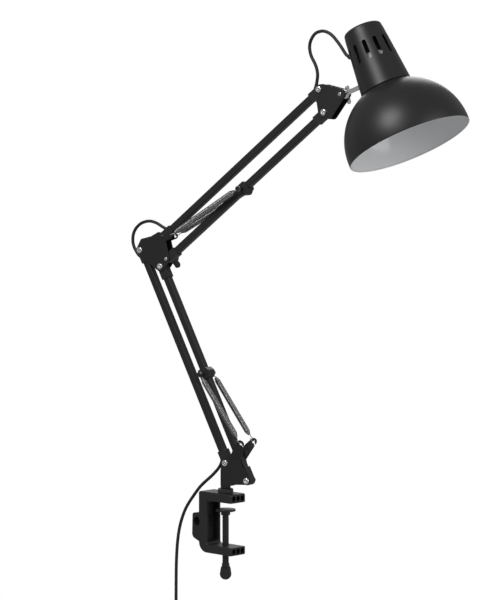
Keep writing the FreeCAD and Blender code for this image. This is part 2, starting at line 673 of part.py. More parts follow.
def draw_cord_slot(sketch, pivot, ahead):
    """The oblong hole through which the lead leaves a bar, measured from a pivot."""
    half = mm.cord_radius + 0.4
    near, far = mm.cord_hole_near + half, mm.cord_hole_far - half
    if ahead > 0:
        draw_outline(sketch, [(pivot + near, as_size(0), half), (pivot + far, as_size(0), half)])
    else:
        draw_outline(sketch, [(pivot - far, as_size(0), half), (pivot - near, as_size(0), half)])


def end_sleeve(label, place, has_lead):
    """The fitting on a bar's end: round about its pivot, with a square socket for the tube."""
    body = new_body(label)
    half = mm.sleeve_width / 2
    sketch = new_sketch(body, "XZ_Plane")
    draw_outline(sketch, [
        (as_size(0), as_size(0), half), (mm.sleeve_length - 0.6, -half + 0.6, as_size(0.6)),
        (mm.sleeve_length - 0.6, half - 0.6, as_size(0.6))])
    draw_circle(sketch, as_size(0), as_size(0), bore_radius)
    pad(body, sketch, mm.sleeve_thickness)
    sketch = new_sketch(body, "YZ_Plane", mm.sleeve_length + 1)
    socket = mm.tube_width / 2 + mm.fit_gap
    draw_box(sketch, -socket, -socket, socket, socket, mm.tube_round)
    pocket(body, sketch, mm.sleeve_length + 1 - mm.tube_start + mm.fit_gap, both=False)
    if has_lead:
        sketch = new_sketch(body, "XY_Plane")
        draw_cord_slot(sketch, as_size(0), 1)
        pocket(body, sketch, mm.sleeve_width, both=False, reverse=True)
    body.Placement = place
    return body


def make_bar(name, start, angle, has_lead):
    place = in_arm_plane(start, angle)
    square_tube(name + "_tube", place, has_lead)
    far_end = place.multiply(Placement(Vector(float(mm.arm_length), 0, 0), Rotation(Vector(0, 0, 1), 180)))
    group(name + "_ends", [end_sleeve(name + "_end_a", place, has_lead),
                           end_sleeve(name + "_end_b", far_end, has_lead)])


def make_spring_collar(name, start, angle, outward):
    """The saddle on a bar that carries a spring pin, with a rounded lobe on its outer side."""
    body = new_body(name + "_collar_body")
    half = mm.tube_width / 2 + mm.collar_wall
    sketch = new_sketch(body, "XZ_Plane")
    lobe = mm.collar_length / 2 - 1
    draw_outline(sketch, [
        (-mm.collar_length / 2 + 2, -half + 2, as_size(2)), (mm.collar_length / 2 - 2, -half + 2, as_size(2)),
        (mm.collar_length / 2 - 2, half - 2, as_size(2)), (as_size(0), half + 3 - lobe * 0.7, lobe * 0.7),
        (-mm.collar_length / 2 + 2, half - 2, as_size(2))])
    draw_circle(sketch, as_size(0), as_size(0), mm.pin_radius)
    pad(body, sketch, 2 * half)
    sketch = new_sketch(body, "YZ_Plane")
    inside = mm.tube_width / 2 + mm.fit_gap
    draw_box(sketch, -inside, -inside, inside, inside, mm.tube_round)
    pocket(body, sketch, 2 * mm.collar_length)
    middle = offset(start, angle, mm.collar_station)
    flip = 0 if outward > 0 else 180
    keep(body, name + "_spring_collar", in_arm_plane(middle, float(angle) + flip))
    spring_pin(name + "_spring_pin", in_arm_plane(middle, angle))


# ---------------------------------------------------------------- wound wire and leads

def biarc(start, heading, end, arrival):
    """Two arcs that leave start along heading and reach end along arrival."""
    chord = end - start
    both = heading + arrival
    a = both.dot(both) - 4
    b = -2 * chord.dot(both)
    c = chord.dot(chord)
    if abs(a) < 1e-9:
        reach = -c / b
    else:
        reach = (-b - math.sqrt(b * b - 4 * a * c)) / (2 * a)
    knee_a, knee_b = start + heading * reach, end - arrival * reach
    middle = (knee_a + knee_b) * 0.5
    return [arc_to(start, heading, middle), arc_to(middle, (knee_b - knee_a).normalize(), end)]


def arc_to(start, heading, end):
    """The arc, or the straight line, that leaves start along heading and ends at end."""
    chord = end - start
    side = chord - heading * chord.dot(heading)
    if side.Length < 1e-6:
        return Part.LineSegment(start, end).toShape()
    side.normalize()
    radius = chord.dot(chord) / (2 * chord.dot(side))
    centre = start + side * radius
    half = (start + end) * 0.5 - centre
    ahead = half.Length > 1e-6 and chord.dot(heading) >= 0
    top = centre + (half.normalize() * radius if ahead else heading * radius)
    return Part.Arc(start, top, end).toShape()


def wire_tube(edges, radius):
    """One unbroken tube along the edges, whose first edge starts at its first vertex."""
    path = Part.Wire(edges)
    start = edges[0].valueAt(edges[0].FirstParameter)
    heading = edges[0].tangentAt(edges[0].FirstParameter)
    ring = Part.Wire([Part.Circle(start, heading, radius).toShape()])
    return path.makePipeShell([ring], True, False), path


def least_gap(path, radius, skip):
    """The least gap from the tube to itself, between points further apart than skip along it."""
    step = radius
    points = path.discretize(Distance=step)
    away = int(skip / step)
    least = 1e9
    for k in range(0, len(points), 2):
        for other in points[k + away::2]:
            gap = (points[k] - other).Length
            if gap < least:
                least = gap
    return least - 2 * radius


def spring_shape(length, cross_end):
    """A tension spring along +X, with an eye at each end, between eye centres length apart.

    The eyes lie across Y, except that a cross end has its far eye across Z.
    """
    radius, turns = float(mm.spring_radius), int(float(mm.spring_turns))
    eye, lead_in = radius, float(mm.eye_length)
    body = length - 2 * lead_in
    rise = body / turns
    slope = math.hypot(2 * math.pi * radius, rise)

    def on_helix(turn):
        angle = 2 * math.pi * turn
        spot = Vector(lead_in + rise * turn, radius * math.sin(angle), radius * math.cos(angle))
        heading = Vector(rise, 2 * math.pi * radius * math.cos(angle), -2 * math.pi * radius * math.sin(angle))
        return spot, heading * (1 / slope)

    def on_eye(centre, degrees, ahead):
        angle = math.radians(degrees)
        spot = Vector(centre + ahead * eye * math.cos(angle), 0, eye * math.sin(angle))
        return spot, Vector(-ahead * math.sin(angle), 0, math.cos(angle))

    stops = [on_eye(0, degrees, 1) for degrees in (70, 160, 250, 330)]
    stops += [on_helix(half * 0.5) for half in range(2 * turns + 1)]
    far = [on_eye(length, degrees, -1) for degrees in (70, 160, 250, 330)]
    quarter = Rotation(Vector(1, 0, 0), 90 if cross_end else 0)
    stops += [(quarter.multVec(spot), quarter.multVec(heading * -1)) for spot, heading in reversed(far)]
    edges = []
    for (spot, heading), (end, arrival) in zip(stops, stops[1:]):
        edges += biarc(spot, heading, end, arrival)
    return wire_tube(edges, float(mm.wire_radius))


def make_springs(name, start, end, hooked):
    """The near and far springs of one arm, pulled taut from a pin to a pin, or to a hook.

    Each eye bears on the far side of its pin, or on the near edge of the hook's hole.
    """
    reach = end - start
    angle = math.degrees(math.atan2(reach.z, reach.x))
    radius, wire = float(mm.spring_radius), float(mm.wire_radius)
    on_pin = radius - wire - float(mm.pin_radius)
    in_hook = radius + float(mm.hook_hole) - wire - float(mm.hook_play)
    length = reach.Length - on_pin - (in_hook if hooked else on_pin)
    start = offset(start, angle, on_pin)
    tube, path = spring_shape(length, hooked)
    gap = least_gap(path, wire, 4 * radius)
    print("%s springs: eye to eye %.1f, least gap to itself %.2f" % (name, length, gap))
    for side, sign in (("near", -1), ("far", 1)):
        item = doc.addObject("Part::Feature", "%s_spring_%s" % (name, side))
        item.Shape = tube
        keep(item, "%s_spring_%s" % (name, side), in_arm_plane(start, angle, sign * mm.spring_offset))


def cord_path(points):
    """Straight runs joined by tangent arcs, each arc as large as its two runs allow."""
    edges, radii = [], []
    start = points[0]
    for before, corner, after in zip(points, points[1:], points[2:]):
        back, ahead = before - corner, after - corner
        shorter = min(back.Length, ahead.Length)
        half_turn = (math.pi - back.getAngle(ahead)) / 2
        trim = 0.45 * shorter
        radius = trim / math.tan(half_turn)
        arrive = corner + back * (trim / back.Length)
        leave = corner + ahead * (trim / ahead.Length)
        centre_way = (back * (1 / back.Length) + ahead * (1 / ahead.Length)).normalize()
        centre = corner + centre_way * (radius / math.cos(half_turn))
        edges.append(Part.LineSegment(start, arrive).toShape())
        edges.append(Part.Arc(arrive, centre - centre_way * radius, leave).toShape())
        radii.append(radius)
        start = leave
    edges.append(Part.LineSegment(start, points[-1]).toShape())
    return edges, radii


def cord_length(edges):
    return sum(edge.Length for edge in edges)


def make_cord(label, points):
    """A free stretch of the lead, along points of the arm's plane."""
    edges, radii = cord_path(points)
    radius = float(mm.cord_radius)
    tube, path = wire_tube(edges, radius)
    expected = math.pi * radius * radius * cord_length(edges)
    print("%s: %.0f long, radii %s, volume %.4f of its section times length" % (
        label, cord_length(edges), " ".join("%.0f" % r for r in radii), tube.Volume / expected))
    item = doc.addObject("Part::Feature", label)
    item.Shape = tube
    keep(item, label, in_arm_plane(Vector()))
    return path


def flat(*pairs):
    return [Vector(x, 0, z) for x, z in pairs]


def beside(pivot, angle, *pairs):
    """Points given along a bar from its pivot, and out from its middle on the lead's side."""
    return [offset(pivot, angle, ahead, aside) for ahead, aside in pairs]


def make_leads():
    """The lead: bare loops at the head and the elbow, hidden runs in two bars, and the tail."""
    lower, upper = float(mm.lower_angle), float(mm.upper_angle)
    inside = float(mm.cord_inside)
    nose = offset(gland_root, mm.gland_angle, mm.gland_nose - 2.5)
    straight_out = offset(gland_root, mm.gland_angle, mm.gland_nose + 2.5)
    make_cord("head_loop_front", [nose, straight_out] + flat(
        (181.4, 595.2), (174.0, 604.8), (165.0, 614.6), (155.6, 619.4), (151.6, 619.7)))
    make_cord("head_loop_rear", flat(
        (151.6, 619.7), (147.6, 620.0), (138.2, 616.9), (130.6, 604.2), (132.6, 589.6), (140.6, 577.4))
        + beside(head_high, upper, (8.0, 19.4), (-1.2, 10.6), (-7.8, 6.4), (-13.2, 2.2), (-18.6, 0.0),
                 (-inside, 0.0)))
    make_cord("elbow_loop_upper", beside(elbow_high, upper, (inside, 0.0), (18.6, 0.0), (13.4, 2.2),
                                         (9.0, 6.4), (5.6, 12.2), (1.4, 22.4))
              + flat((-124.9, 374.6), (-138.0, 371.8), (-145.2, 367.0), (-147.6, 364.4)))
    make_cord("elbow_loop_lower", flat((-147.6, 364.4), (-150.0, 361.8), (-153.2, 355.0), (-153.9, 345.6), (-151.5, 337.6))
              + beside(elbow_rear, lower, (2.0, 10.8), (-3.8, 9.6), (-8.6, 6.0), (-13.4, 2.2),
                       (-18.6, 0.0), (-inside, 0.0)))
    make_cord("cord_tail", beside(base_rear, lower, (inside, 0.0), (18.6, 0.0), (13.4, 2.2), (8.6, 6.0),
                                  (3.8, 10.0), (-0.2, 15.6)) + flat(
        (-16.2, 38.6), (-24.0, 31.4), (-31.4, 25.6), (-38.8, 19.6), (-45.4, 12.4), (-52.4, 3.6),
        (-59.4, -5.4), (-66.0, -15.6), (-71.8, -28.6), (-76.4, -43.6), (-79.4, -62.4), (-81.0, -84.4),
        (-81.6, -108.4), (tail_x, switch_top)))
    for name, start, angle in (("upper_lead", elbow_high, upper), ("lower_lead", base_rear, lower)):
        item = doc.addObject("Part::Cylinder", name)
        bind(item, "Radius", mm.cord_radius)
        bind(item, "Height", mm.arm_length - 2 * mm.cord_inside)
        place = in_arm_plane(offset(start, angle, inside), angle)
        keep(item, name, place.multiply(Placement(Vector(), Rotation(Vector(0, 1, 0), 90))))


tail_x, switch_top = -81.8, -148.0


def make_coil():
    """The rest of the lead, put away in a flat coil of two layers under a tie, and its plug."""
    radius, pitch = float(mm.coil_radius), float(mm.coil_pitch)
    cord, loops = float(mm.cord_radius), int(float(mm.coil_loops))
    straight = 2 * cord
    switch_foot = switch_top - float(mm.switch_length)
    drop = 42.0
    top = Vector(0, 0, 0)
    item_points = [Vector(tail_x, 0, switch_foot), Vector(tail_x + 0.4, 0, switch_foot - drop * 0.5),
                   Vector(tail_x, 0, switch_foot - drop)]
    make_cord("cord_lower", item_points)
    edges = [Part.LineSegment(top, Vector(0, 0, -straight)).toShape()]
    spot, heading = Vector(0, 0, -straight), Vector(0, 0, -1)
    side = -1
    wide = radius
    turns = 2 * loops
    for half in range(2 * turns):
        climbing = half == turns - 1
        end = spot + Vector(side * 2 * wide, pitch if climbing else 0, 0)
        arrival = heading * -1
        edges += biarc(spot, heading, end, arrival)
        spot, heading, side = end, arrival, -side
        if half < turns - 1:
            wide -= pitch / 2
        elif half >= turns:
            wide += pitch / 2
    last = spot + heading * straight
    edges.append(Part.LineSegment(spot, last).toShape())
    tube, path = wire_tube(edges, cord)
    gap = least_gap(path, cord, 4 * radius)
    print("cord_coil: %.0f long, %d loops, least gap to itself %.2f" % (path.Length, 2 * loops, gap))
    item = doc.addObject("Part::Feature", "cord_coil")
    item.Shape = tube
    place = in_arm_plane(item_points[-1])
    keep(item, "cord_coil", place)

    # the tie goes round all the strands, at the bottom of the coil
    inner_wide = radius - loops * pitch + pitch / 2
    section = (radius + inner_wide) / 2
    half_x, half_y = (radius - inner_wide) / 2 + cord + 0.3, pitch / 2 + cord + 0.3
    tie = new_body("coil_tie_body")
    sketch = new_sketch(tie, "XY_Plane")
    draw_box(sketch, as_size(-half_x - 1.2), as_size(-half_y - 1.2), as_size(half_x + 1.2),
             as_size(half_y + 1.2), 1.4)
    draw_box(sketch, as_size(-half_x), as_size(-half_y), as_size(half_x), as_size(half_y), 0.3)
    pad(tie, sketch, as_size(8))
    middle = item_points[-1] + Vector(-2 * radius + radius - section, 0, -straight)
    keep(tie, "coil_tie", in_arm_plane(middle, 0, pitch / 2))
    return item_points[-1], last, heading


def make_switch():
    """The switch in the lead: a rounded case with a rocker."""
    body = new_body("inline_switch_body")
    half = mm.switch_width / 2
    sketch = new_sketch(body, "XZ_Plane")
    draw_outline(sketch, [
        (as_size(0), 7 - mm.switch_length, as_size(7)), (half - 6, mm.switch_length * -0.62, as_size(6)),
        (half - 6, mm.switch_length * -0.38, as_size(6)), (as_size(0), as_size(-7), as_size(7)),
        (6 - half, mm.switch_length * -0.38, as_size(6)), (6 - half, mm.switch_length * -0.62, as_size(6))])
    pad(body, sketch, mm.switch_thickness)
    half_thick = float(mm.switch_thickness) / 2
    round_edges(body, as_size(3), lambda edge: abs(abs(edge.BoundBox.YMin) - half_thick) < 0.01
                and edge.BoundBox.YLength < 0.01)
    sketch = new_sketch(body, "XZ_Plane", mm.switch_thickness / 2 + 1.6)
    draw_box(sketch, as_size(-4), mm.switch_length / -2 - 7.5, as_size(4), 7.5 - mm.switch_length / 2, 1.5)
    pad(body, sketch, as_size(3), both=False, reverse=True)
    keep(body, "inline_switch", in_arm_plane(Vector(tail_x, 0, switch_top)))


def make_plug(start, last, heading):
    """A flat two-pin plug with a tapered strain relief, on the end of the coil."""
    relief = turned("plug_relief", [
        (0, 0, 0), (mm.cord_radius + 0.45, 0, 0), (mm.cord_radius + 2, as_size(24), 0), (0, as_size(24), 0)])
    body = new_body("plug_case")
    sketch = new_sketch(body, "XZ_Plane")
    half = mm.plug_width / 2
    draw_outline(sketch, [
        (as_size(0), as_size(27), as_size(5)), (half - 5, as_size(40), as_size(5)),
        (half - 2, 22 + mm.plug_length - 2, as_size(2)), (2 - half, 22 + mm.plug_length - 2, as_size(2)),
        (5 - half, as_size(40), as_size(5))])
    pad(body, sketch, mm.plug_thickness)
    half_thick = float(mm.plug_thickness) / 2
    round_edges(body, as_size(2), lambda edge: abs(abs(edge.BoundBox.YMin) - half_thick) < 0.01
                and edge.BoundBox.YLength < 0.01)
    pins = []
    for side in (-1, 1):
        rod = turned("plug_pin_%s" % ("left" if side < 0 else "right"), [
            (0, 0, 0), (mm.plug_pin_radius, 0, 0),
            (mm.plug_pin_radius - 1, mm.plug_pin_length + 2, as_size(1)), (0, mm.plug_pin_length + 3, 0)])
        rod.Placement = Placement(Vector(side * float(mm.plug_pin_spacing) / 2, 0,
                                         20 + float(mm.plug_length)), Rotation())
        pins.append(rod)
    whole = joined("plug", [relief, body] + pins)
    angle = math.degrees(math.atan2(heading.z, heading.x)) - 90
    spot = start + last
    keep(whole, "plug", in_arm_plane(Vector(spot.x, 0, spot.z), angle, last.y))


# ---------------------------------------------------------------- head

neck_slope = math.atan2(float(mm.neck_bottom - mm.neck_top), float(mm.neck_height))


def neck_radius(height):
    return mm.neck_bottom - (mm.neck_bottom - mm.neck_top) * height / mm.neck_height


def shade_point(out, up):
    """A point of the shade, measured out from its axis and up from the neck's foot."""
    return shade_foot + turn_in_plane(mm.shade_tilt).multVec(Vector(float(out), 0, float(up)))


stem_wall = Vector(-float(neck_radius(mm.stem_height)), 0, float(mm.stem_height))
stem_angle = float(mm.shade_tilt) - math.degrees(neck_slope)
pivot_in_shade = stem_wall + Vector(-math.cos(neck_slope), 0, math.sin(neck_slope)) * float(mm.stem_length)
shade_foot = head_pivot - turn_in_plane(mm.shade_tilt).multVec(pivot_in_shade)
gland_root = shade_point(-neck_radius(mm.gland_height), mm.gland_height)


def make_head_joint():
    """The pivot bolt, its washers and wing nut, and the chrome stem that they clamp."""
    place = in_arm_plane(head_pivot)
    along_y = Placement(Vector(), Rotation(Vector(1, 0, 0), -90))
    near_face = -half_outside - mm.washer_thickness
    bolt = turned("head_pivot_bolt_body", [
        (0, near_face - 1.6, 0), (mm.pivot_bolt - 0.9, near_face - 0.7, as_size(0.9)),
        (mm.pivot_bolt + 0.1, near_face, 0), (mm.pivot_bolt, near_face, 0),
        (mm.pivot_bolt, half_outside + mm.wing_height, 0), (0, half_outside + mm.wing_height, 0)])
    keep(bolt, "head_pivot_bolt", place.multiply(along_y))
    rings = []
    inner_face = half_inside - mm.washer_thickness
    for k, low in enumerate((near_face, -half_inside, inner_face)):
        ring = turned("head_washer_%d" % k, [
            (mm.pivot_bolt + mm.fit_gap, low, 0), (mm.knuckle_lug - 0.3, low, 0),
            (mm.knuckle_lug - 0.3, low + mm.washer_thickness, 0),
            (mm.pivot_bolt + mm.fit_gap, low + mm.washer_thickness, 0)])
        ring.Placement = place.multiply(along_y)
        rings.append(ring)
    group("head_washers", rings)
    winged("wing_nut", in_arm_plane(head_pivot, 8), mm.wing_hub, as_size(5.5), mm.wing_span,
           mm.wing_thickness, mm.wing_height, mm.pivot_bolt)

    body = new_body("head_stem_body")
    sketch = new_sketch(body, "XZ_Plane")
    draw_circle(sketch, as_size(0), as_size(0), mm.eye_radius)
    pad(body, sketch, 2 * (inner_face - mm.running_gap))
    sketch = new_sketch(body, "YZ_Plane")
    draw_circle(sketch, as_size(0), as_size(0), mm.stem_radius)
    pad(body, sketch, mm.stem_length + mm.stem_inside, both=False)
    sketch = new_sketch(body, "XZ_Plane")
    draw_circle(sketch, as_size(0), as_size(0), mm.pivot_bolt + mm.running_gap)
    pocket(body, sketch, 4 * mm.eye_radius)
    keep(body, "head_stem", in_arm_plane(head_pivot, stem_angle))

    nuts = []
    outside = mm.stem_length - mm.stem_nut_height - 0.1
    inside = mm.stem_length + mm.neck_wall + 0.5
    for k, low in enumerate((outside, inside)):
        nut = turned("stem_nut_%d" % k, [
            (mm.stem_radius, low, 0), (mm.stem_nut, low, 0), (mm.stem_nut, low + mm.stem_nut_height, 0),
            (mm.stem_radius, low + mm.stem_nut_height, 0)])
        nut.Placement = in_arm_plane(head_pivot, stem_angle).multiply(
            Placement(Vector(), Rotation(Vector(0, 1, 0), 90)))
        nuts.append(nut)
    group("stem_nuts", nuts)


def make_neck():
    """The tapered neck: a thin spun shell, closed at its top, with a ring of vent slots."""
    inner_round = mm.neck_round - mm.neck_wall
    shoulder, crown = mm.neck_top - mm.neck_round, mm.neck_height - mm.neck_round
    body = turned("neck_housing_body", [
        (mm.neck_bottom, as_size(0), 0), (shoulder, crown, mm.neck_round), (0, mm.neck_height, 0),
        (0, mm.neck_height - mm.neck_wall, 0), (shoulder, crown, -inner_round),
        (mm.neck_bottom - mm.neck_wall, as_size(0), 0)])
    doc.recompute()
    sketch = new_sketch(body, "YZ_Plane")
    half = mm.slot_width / 2
    draw_outline(sketch, [
        (as_size(0), mm.slot_low + half, half), (as_size(0), mm.slot_low + mm.slot_length - half, half)])
    cut = pocket(body, sketch, mm.neck_bottom + 5, both=False, reverse=True)
    vents = body.newObject("PartDesign::PolarPattern", "neck_vents")
    vents.Originals = [cut]
    vents.Axis = (sketch, ["V_Axis"])
    vents.Angle = 360.0
    bind(vents, "Occurrences", mm.slot_count)
    body.Tip = vents
    body.Placement = Placement(Vector(), Rotation(Vector(0, 0, 1), float(mm.slot_phase)))

    # the stem's hole and the gland's hole, square to the wall and slanting up
    stem_hole = doc.addObject("Part::Cylinder", "stem_hole")
    bind(stem_hole, "Radius", mm.stem_radius + mm.running_gap)
    stem_hole.Height = 12
    stem_hole.Placement = Placement(stem_wall, turn_in_plane(-math.degrees(neck_slope)).multiply(
        Rotation(Vector(0, 1, 0), 90))).multiply(Placement(Vector(0, 0, -4), Rotation()))
    gland_hole = doc.addObject("Part::Cylinder", "gland_hole")
    bind(gland_hole, "Radius", mm.gland_radius - 0.6 + mm.fit_gap)
    gland_hole.Height = 16
    wall = Vector(-float(neck_radius(mm.gland_height)), 0, float(mm.gland_height))
    gland_hole.Placement = Placement(wall, gland_turn).multiply(Placement(Vector(0, 0, -8), Rotation()))
    holes = joined("neck_holes", [stem_hole, gland_hole])
    neck = doc.addObject("Part::Cut", "neck_housing_cut")
    neck.Base = body
    neck.Tool = holes
    keep(neck, "neck_housing", in_arm_plane(shade_foot, mm.shade_tilt))


gland_turn = turn_in_plane(float(mm.gland_angle) - float(mm.shade_tilt)).multiply(Rotation(Vector(0, 1, 0), 90))


def make_gland():
    """The slanting strain relief where the lead enters the neck."""
    grip = mm.gland_radius - 0.6
    bore = mm.cord_radius + mm.fit_gap
    body = turned("cord_gland_body", [
        (bore, as_size(-5), 0), (grip, as_size(-5), 0), (grip, as_size(2.4), 0),
        (mm.gland_radius, as_size(2.4), 0), (mm.gland_radius, as_size(4.0), 0),
        (bore + 0.7, mm.gland_nose, 0), (bore, mm.gland_nose, 0)])
    wall = Vector(-float(neck_radius(mm.gland_height)), 0, float(mm.gland_height))
    keep(body, "cord_gland", in_arm_plane(shade_foot, mm.shade_tilt).multiply(Placement(wall, gland_turn)))


def make_dome():
    """The spun dome, with a beaded rim and an upstand that seats inside the neck."""
    centre = as_size(0) - root(mm.dome_radius * mm.dome_radius - mm.neck_bottom * mm.neck_bottom) - 0.8
    upstand = mm.neck_bottom - mm.neck_wall - mm.collar_gap
    lip = upstand - (mm.neck_bottom - mm.neck_top) * mm.collar_height / mm.neck_height
    wall = mm.dome_wall
    top = as_size(-0.2)
    hole = mm.holder_radius + 1
    body = turned("shade_dome_body", [
        (mm.dome_radius, -mm.dome_depth, 0), (0, centre, mm.dome_radius), (upstand, top, 0),
        (lip, mm.collar_height, 0), (lip - wall, mm.collar_height, 0), (upstand - wall, top, 0),
        (hole, top, 0), (hole, top - wall, 0), (upstand - 0.3, top - wall + 0.1, 0),
        (0, centre, wall - mm.dome_radius), (mm.dome_radius - wall, rim_step - mm.dome_depth, 0),
        (mm.dome_radius - mm.rim_bead, rim_step - mm.dome_depth, 0),
        (mm.dome_radius - mm.rim_bead, -mm.dome_depth, 0)])
    keep(body, "shade_dome", in_arm_plane(shade_foot, mm.shade_tilt))


rim_step = as_size(1.6)


def make_lampholder():
    """The lampholder through the dome's top: body, screw shell, contact in its pit, clamping ring."""
    place = in_arm_plane(shade_foot, mm.shade_tilt)
    seat = as_size(0)
    bore = mm.shell_radius + mm.shell_wall + mm.fit_gap
    floor = mm.shell_depth - mm.holder_skirt
    skirt = mm.holder_radius + 0.4
    holder = turned("lampholder_body_turned", [
        (bore, -mm.holder_skirt, 0), (skirt, -mm.holder_skirt, 0), (skirt, seat, 0),
        (mm.holder_flange, seat, 0), (mm.holder_flange, seat + 4, 0), (mm.holder_radius, seat + 5, 0),
        (mm.holder_radius - 1.5, mm.holder_height - 8, 0), (as_size(9), mm.holder_height - 3, as_size(3)),
        (0, mm.holder_height, 0), (0, floor + 4, 0), (as_size(5.5), floor + 4, 0), (as_size(5.5), floor, 0),
        (bore, floor, 0)])
    keep(holder, "lampholder_body", place)
    shell = turned("threaded_shell_body", [
        (mm.shell_radius, -mm.holder_skirt + 1, 0), (mm.shell_radius + mm.shell_wall, -mm.holder_skirt + 1, 0),
        (mm.shell_radius + mm.shell_wall, floor, 0), (as_size(6), floor, 0),
        (as_size(6), floor - mm.shell_wall, 0), (mm.shell_radius, floor - mm.shell_wall, 0)])
    keep(shell, "threaded_shell", place)
    contact = turned("centre_contact_body", [
        (0, floor + 0.2, 0), (as_size(2.6), floor + 1.0, as_size(0.8)), (as_size(4.5), floor + 4, 0),
        (0, floor + 4, 0)])
    keep(contact, "centre_contact", place)
    low = -mm.dome_wall - 0.3
    ring = turned("shade_ring_body", [
        (skirt + mm.fit_gap, low - 6, 0), (skirt + mm.ring_width - 2, low - 4, as_size(2)),
        (skirt + mm.ring_width, low, 0), (skirt + mm.fit_gap, low, 0)])
    keep(ring, "shade_ring", place)


# ---------------------------------------------------------------- the lamp

make_clamp_frame()
make_pivot_bush()
make_clamp_screw()
make_base_bracket()
make_base_post()
make_elbow_plates()
make_head_plates()
make_bracket_fasteners()
make_bar("lower_rear", base_rear, mm.lower_angle, True)
make_bar("lower_front", base_front, mm.lower_angle, False)
make_bar("upper_top", elbow_high, mm.upper_angle, True)
make_bar("upper_bottom", elbow_low, mm.upper_angle, False)
make_spring_collar("lower", base_front, mm.lower_angle, -1)
make_spring_collar("upper", elbow_low, mm.upper_angle, -1)
base_hook = Vector(float(mm.hook_x), 0, float(mm.hook_z))
make_springs("lower", offset(base_front, mm.lower_angle, mm.collar_station), base_hook, True)
make_springs("upper", offset(elbow_low, mm.upper_angle, mm.collar_station), elbow_high, False)
make_head_joint()
make_neck()
make_gland()
make_dome()
make_lampholder()
make_leads()
make_switch()
make_plug(*make_coil())

doc.recompute()
for item in doc.Objects:
    if "Invalid" in item.State or "Error" in item.State:
        raise RuntimeError("%s did not build: %s" % (item.Label, item.State))
for item in nodes:
    if item.Shape.isNull() or not item.Shape.isValid():
        raise RuntimeError("%s has no valid shape" % item.Label)

os.makedirs("parts", exist_ok=True)
for item in nodes:
    item.Shape.exportStep("parts/%s.step" % item.Label)
print("%d nodes, %d solids" % (len(nodes), sum(len(item.Shape.Solids) for item in nodes)))
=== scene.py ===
import json
import math

import bmesh
import bpy
from mathutils import Matrix, Vector


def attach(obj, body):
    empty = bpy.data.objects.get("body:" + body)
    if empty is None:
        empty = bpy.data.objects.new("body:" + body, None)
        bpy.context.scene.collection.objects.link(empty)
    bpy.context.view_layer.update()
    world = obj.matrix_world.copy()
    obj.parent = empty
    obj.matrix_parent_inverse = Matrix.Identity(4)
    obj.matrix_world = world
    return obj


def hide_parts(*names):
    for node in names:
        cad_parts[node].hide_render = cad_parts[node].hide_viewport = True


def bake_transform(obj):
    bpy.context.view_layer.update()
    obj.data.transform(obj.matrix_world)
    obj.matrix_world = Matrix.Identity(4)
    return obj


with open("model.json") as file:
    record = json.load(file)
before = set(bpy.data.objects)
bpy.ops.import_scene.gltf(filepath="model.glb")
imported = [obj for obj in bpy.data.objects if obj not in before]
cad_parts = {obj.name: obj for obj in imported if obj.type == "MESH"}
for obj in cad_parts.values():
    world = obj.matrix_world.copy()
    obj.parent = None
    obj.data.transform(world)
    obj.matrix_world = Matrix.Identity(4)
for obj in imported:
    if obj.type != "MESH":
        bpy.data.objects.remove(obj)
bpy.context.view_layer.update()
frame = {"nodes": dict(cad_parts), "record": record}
nodes = frame["nodes"]
MM = 0.001


# ---------------------------------------------------------------- places in the arm's plane

SWING = Matrix.Rotation(math.radians(10.0), 4, "Z")


def place(x, z, angle=0.0, across=0.0):
    """A frame in the arm's plane, in metres, with its own X at this angle from level."""
    spot = Matrix.Translation(Vector((x, across, z)) * MM)
    return SWING @ spot @ Matrix.Rotation(-math.radians(angle), 4, "Y")


def point(x, z, across=0.0):
    return SWING @ (Vector((x, across, z)) * MM)


def along(start, angle, ahead, aside=0.0):
    """A point of the arm's plane, given along a bar from its pivot and out from its middle."""
    turn = math.radians(angle)
    return (start[0] + ahead * math.cos(turn) - aside * math.sin(turn),
            start[1] + ahead * math.sin(turn) + aside * math.cos(turn))


LOWER, UPPER, ARM = 116.5, 37.6, 315.0
BASE_REAR, BASE_FRONT = (4.0, 52.5), (38.0, 31.0)
ELBOW_REAR, ELBOW_FRONT = along(BASE_REAR, LOWER, ARM), along(BASE_FRONT, LOWER, ARM)
ELBOW_LOW = (ELBOW_FRONT[0] + 10.0, ELBOW_FRONT[1] + 10.3)
ELBOW_HIGH = (ELBOW_LOW[0] - 7.3, ELBOW_LOW[1] + 29.6)
HEAD_LOW, HEAD_HIGH = along(ELBOW_LOW, UPPER, ARM), along(ELBOW_HIGH, UPPER, ARM)
SHADE_FOOT, TILT = (245.651, 544.543), 25.5
NECK_FOOT, NECK_DRAW, NECK_HEIGHT = 33.0, 8.5, 81.0
NECK_SLOPE = math.degrees(math.atan2(NECK_DRAW, NECK_HEIGHT))
STEM_UP, GLAND_UP, GLAND_ANGLE = 18.2, 57.0, 168.0
DOME_RADIUS = 80.6
COLLAR_STATION, COLLAR_ACROSS, HORN_ACROSS = 155.5, 15.3, 6.5


def neck_radius(up):
    """The neck's radius in the solids, this far up from its foot."""
    return NECK_FOOT - NECK_DRAW * up / NECK_HEIGHT


# ---------------------------------------------------------------- camera

camera = bpy.data.objects.new("camera", bpy.data.cameras.new("camera"))
bpy.context.scene.collection.objects.link(camera)
camera.location = (1.9765, -2.0254, 0.413)
camera.rotation_euler = (math.radians(87.103), 0.0, math.radians(43.842))
camera.data.lens = 127.68
camera.data.sensor_width = 36.0
camera.data.clip_end = 60.0
bpy.context.scene.camera = camera


# ---------------------------------------------------------------- materials

def start_material(name):
    material = bpy.data.materials.new(name)
    material.use_nodes = True
    tree = material.node_tree
    return material, tree, tree.nodes["Principled BSDF"]


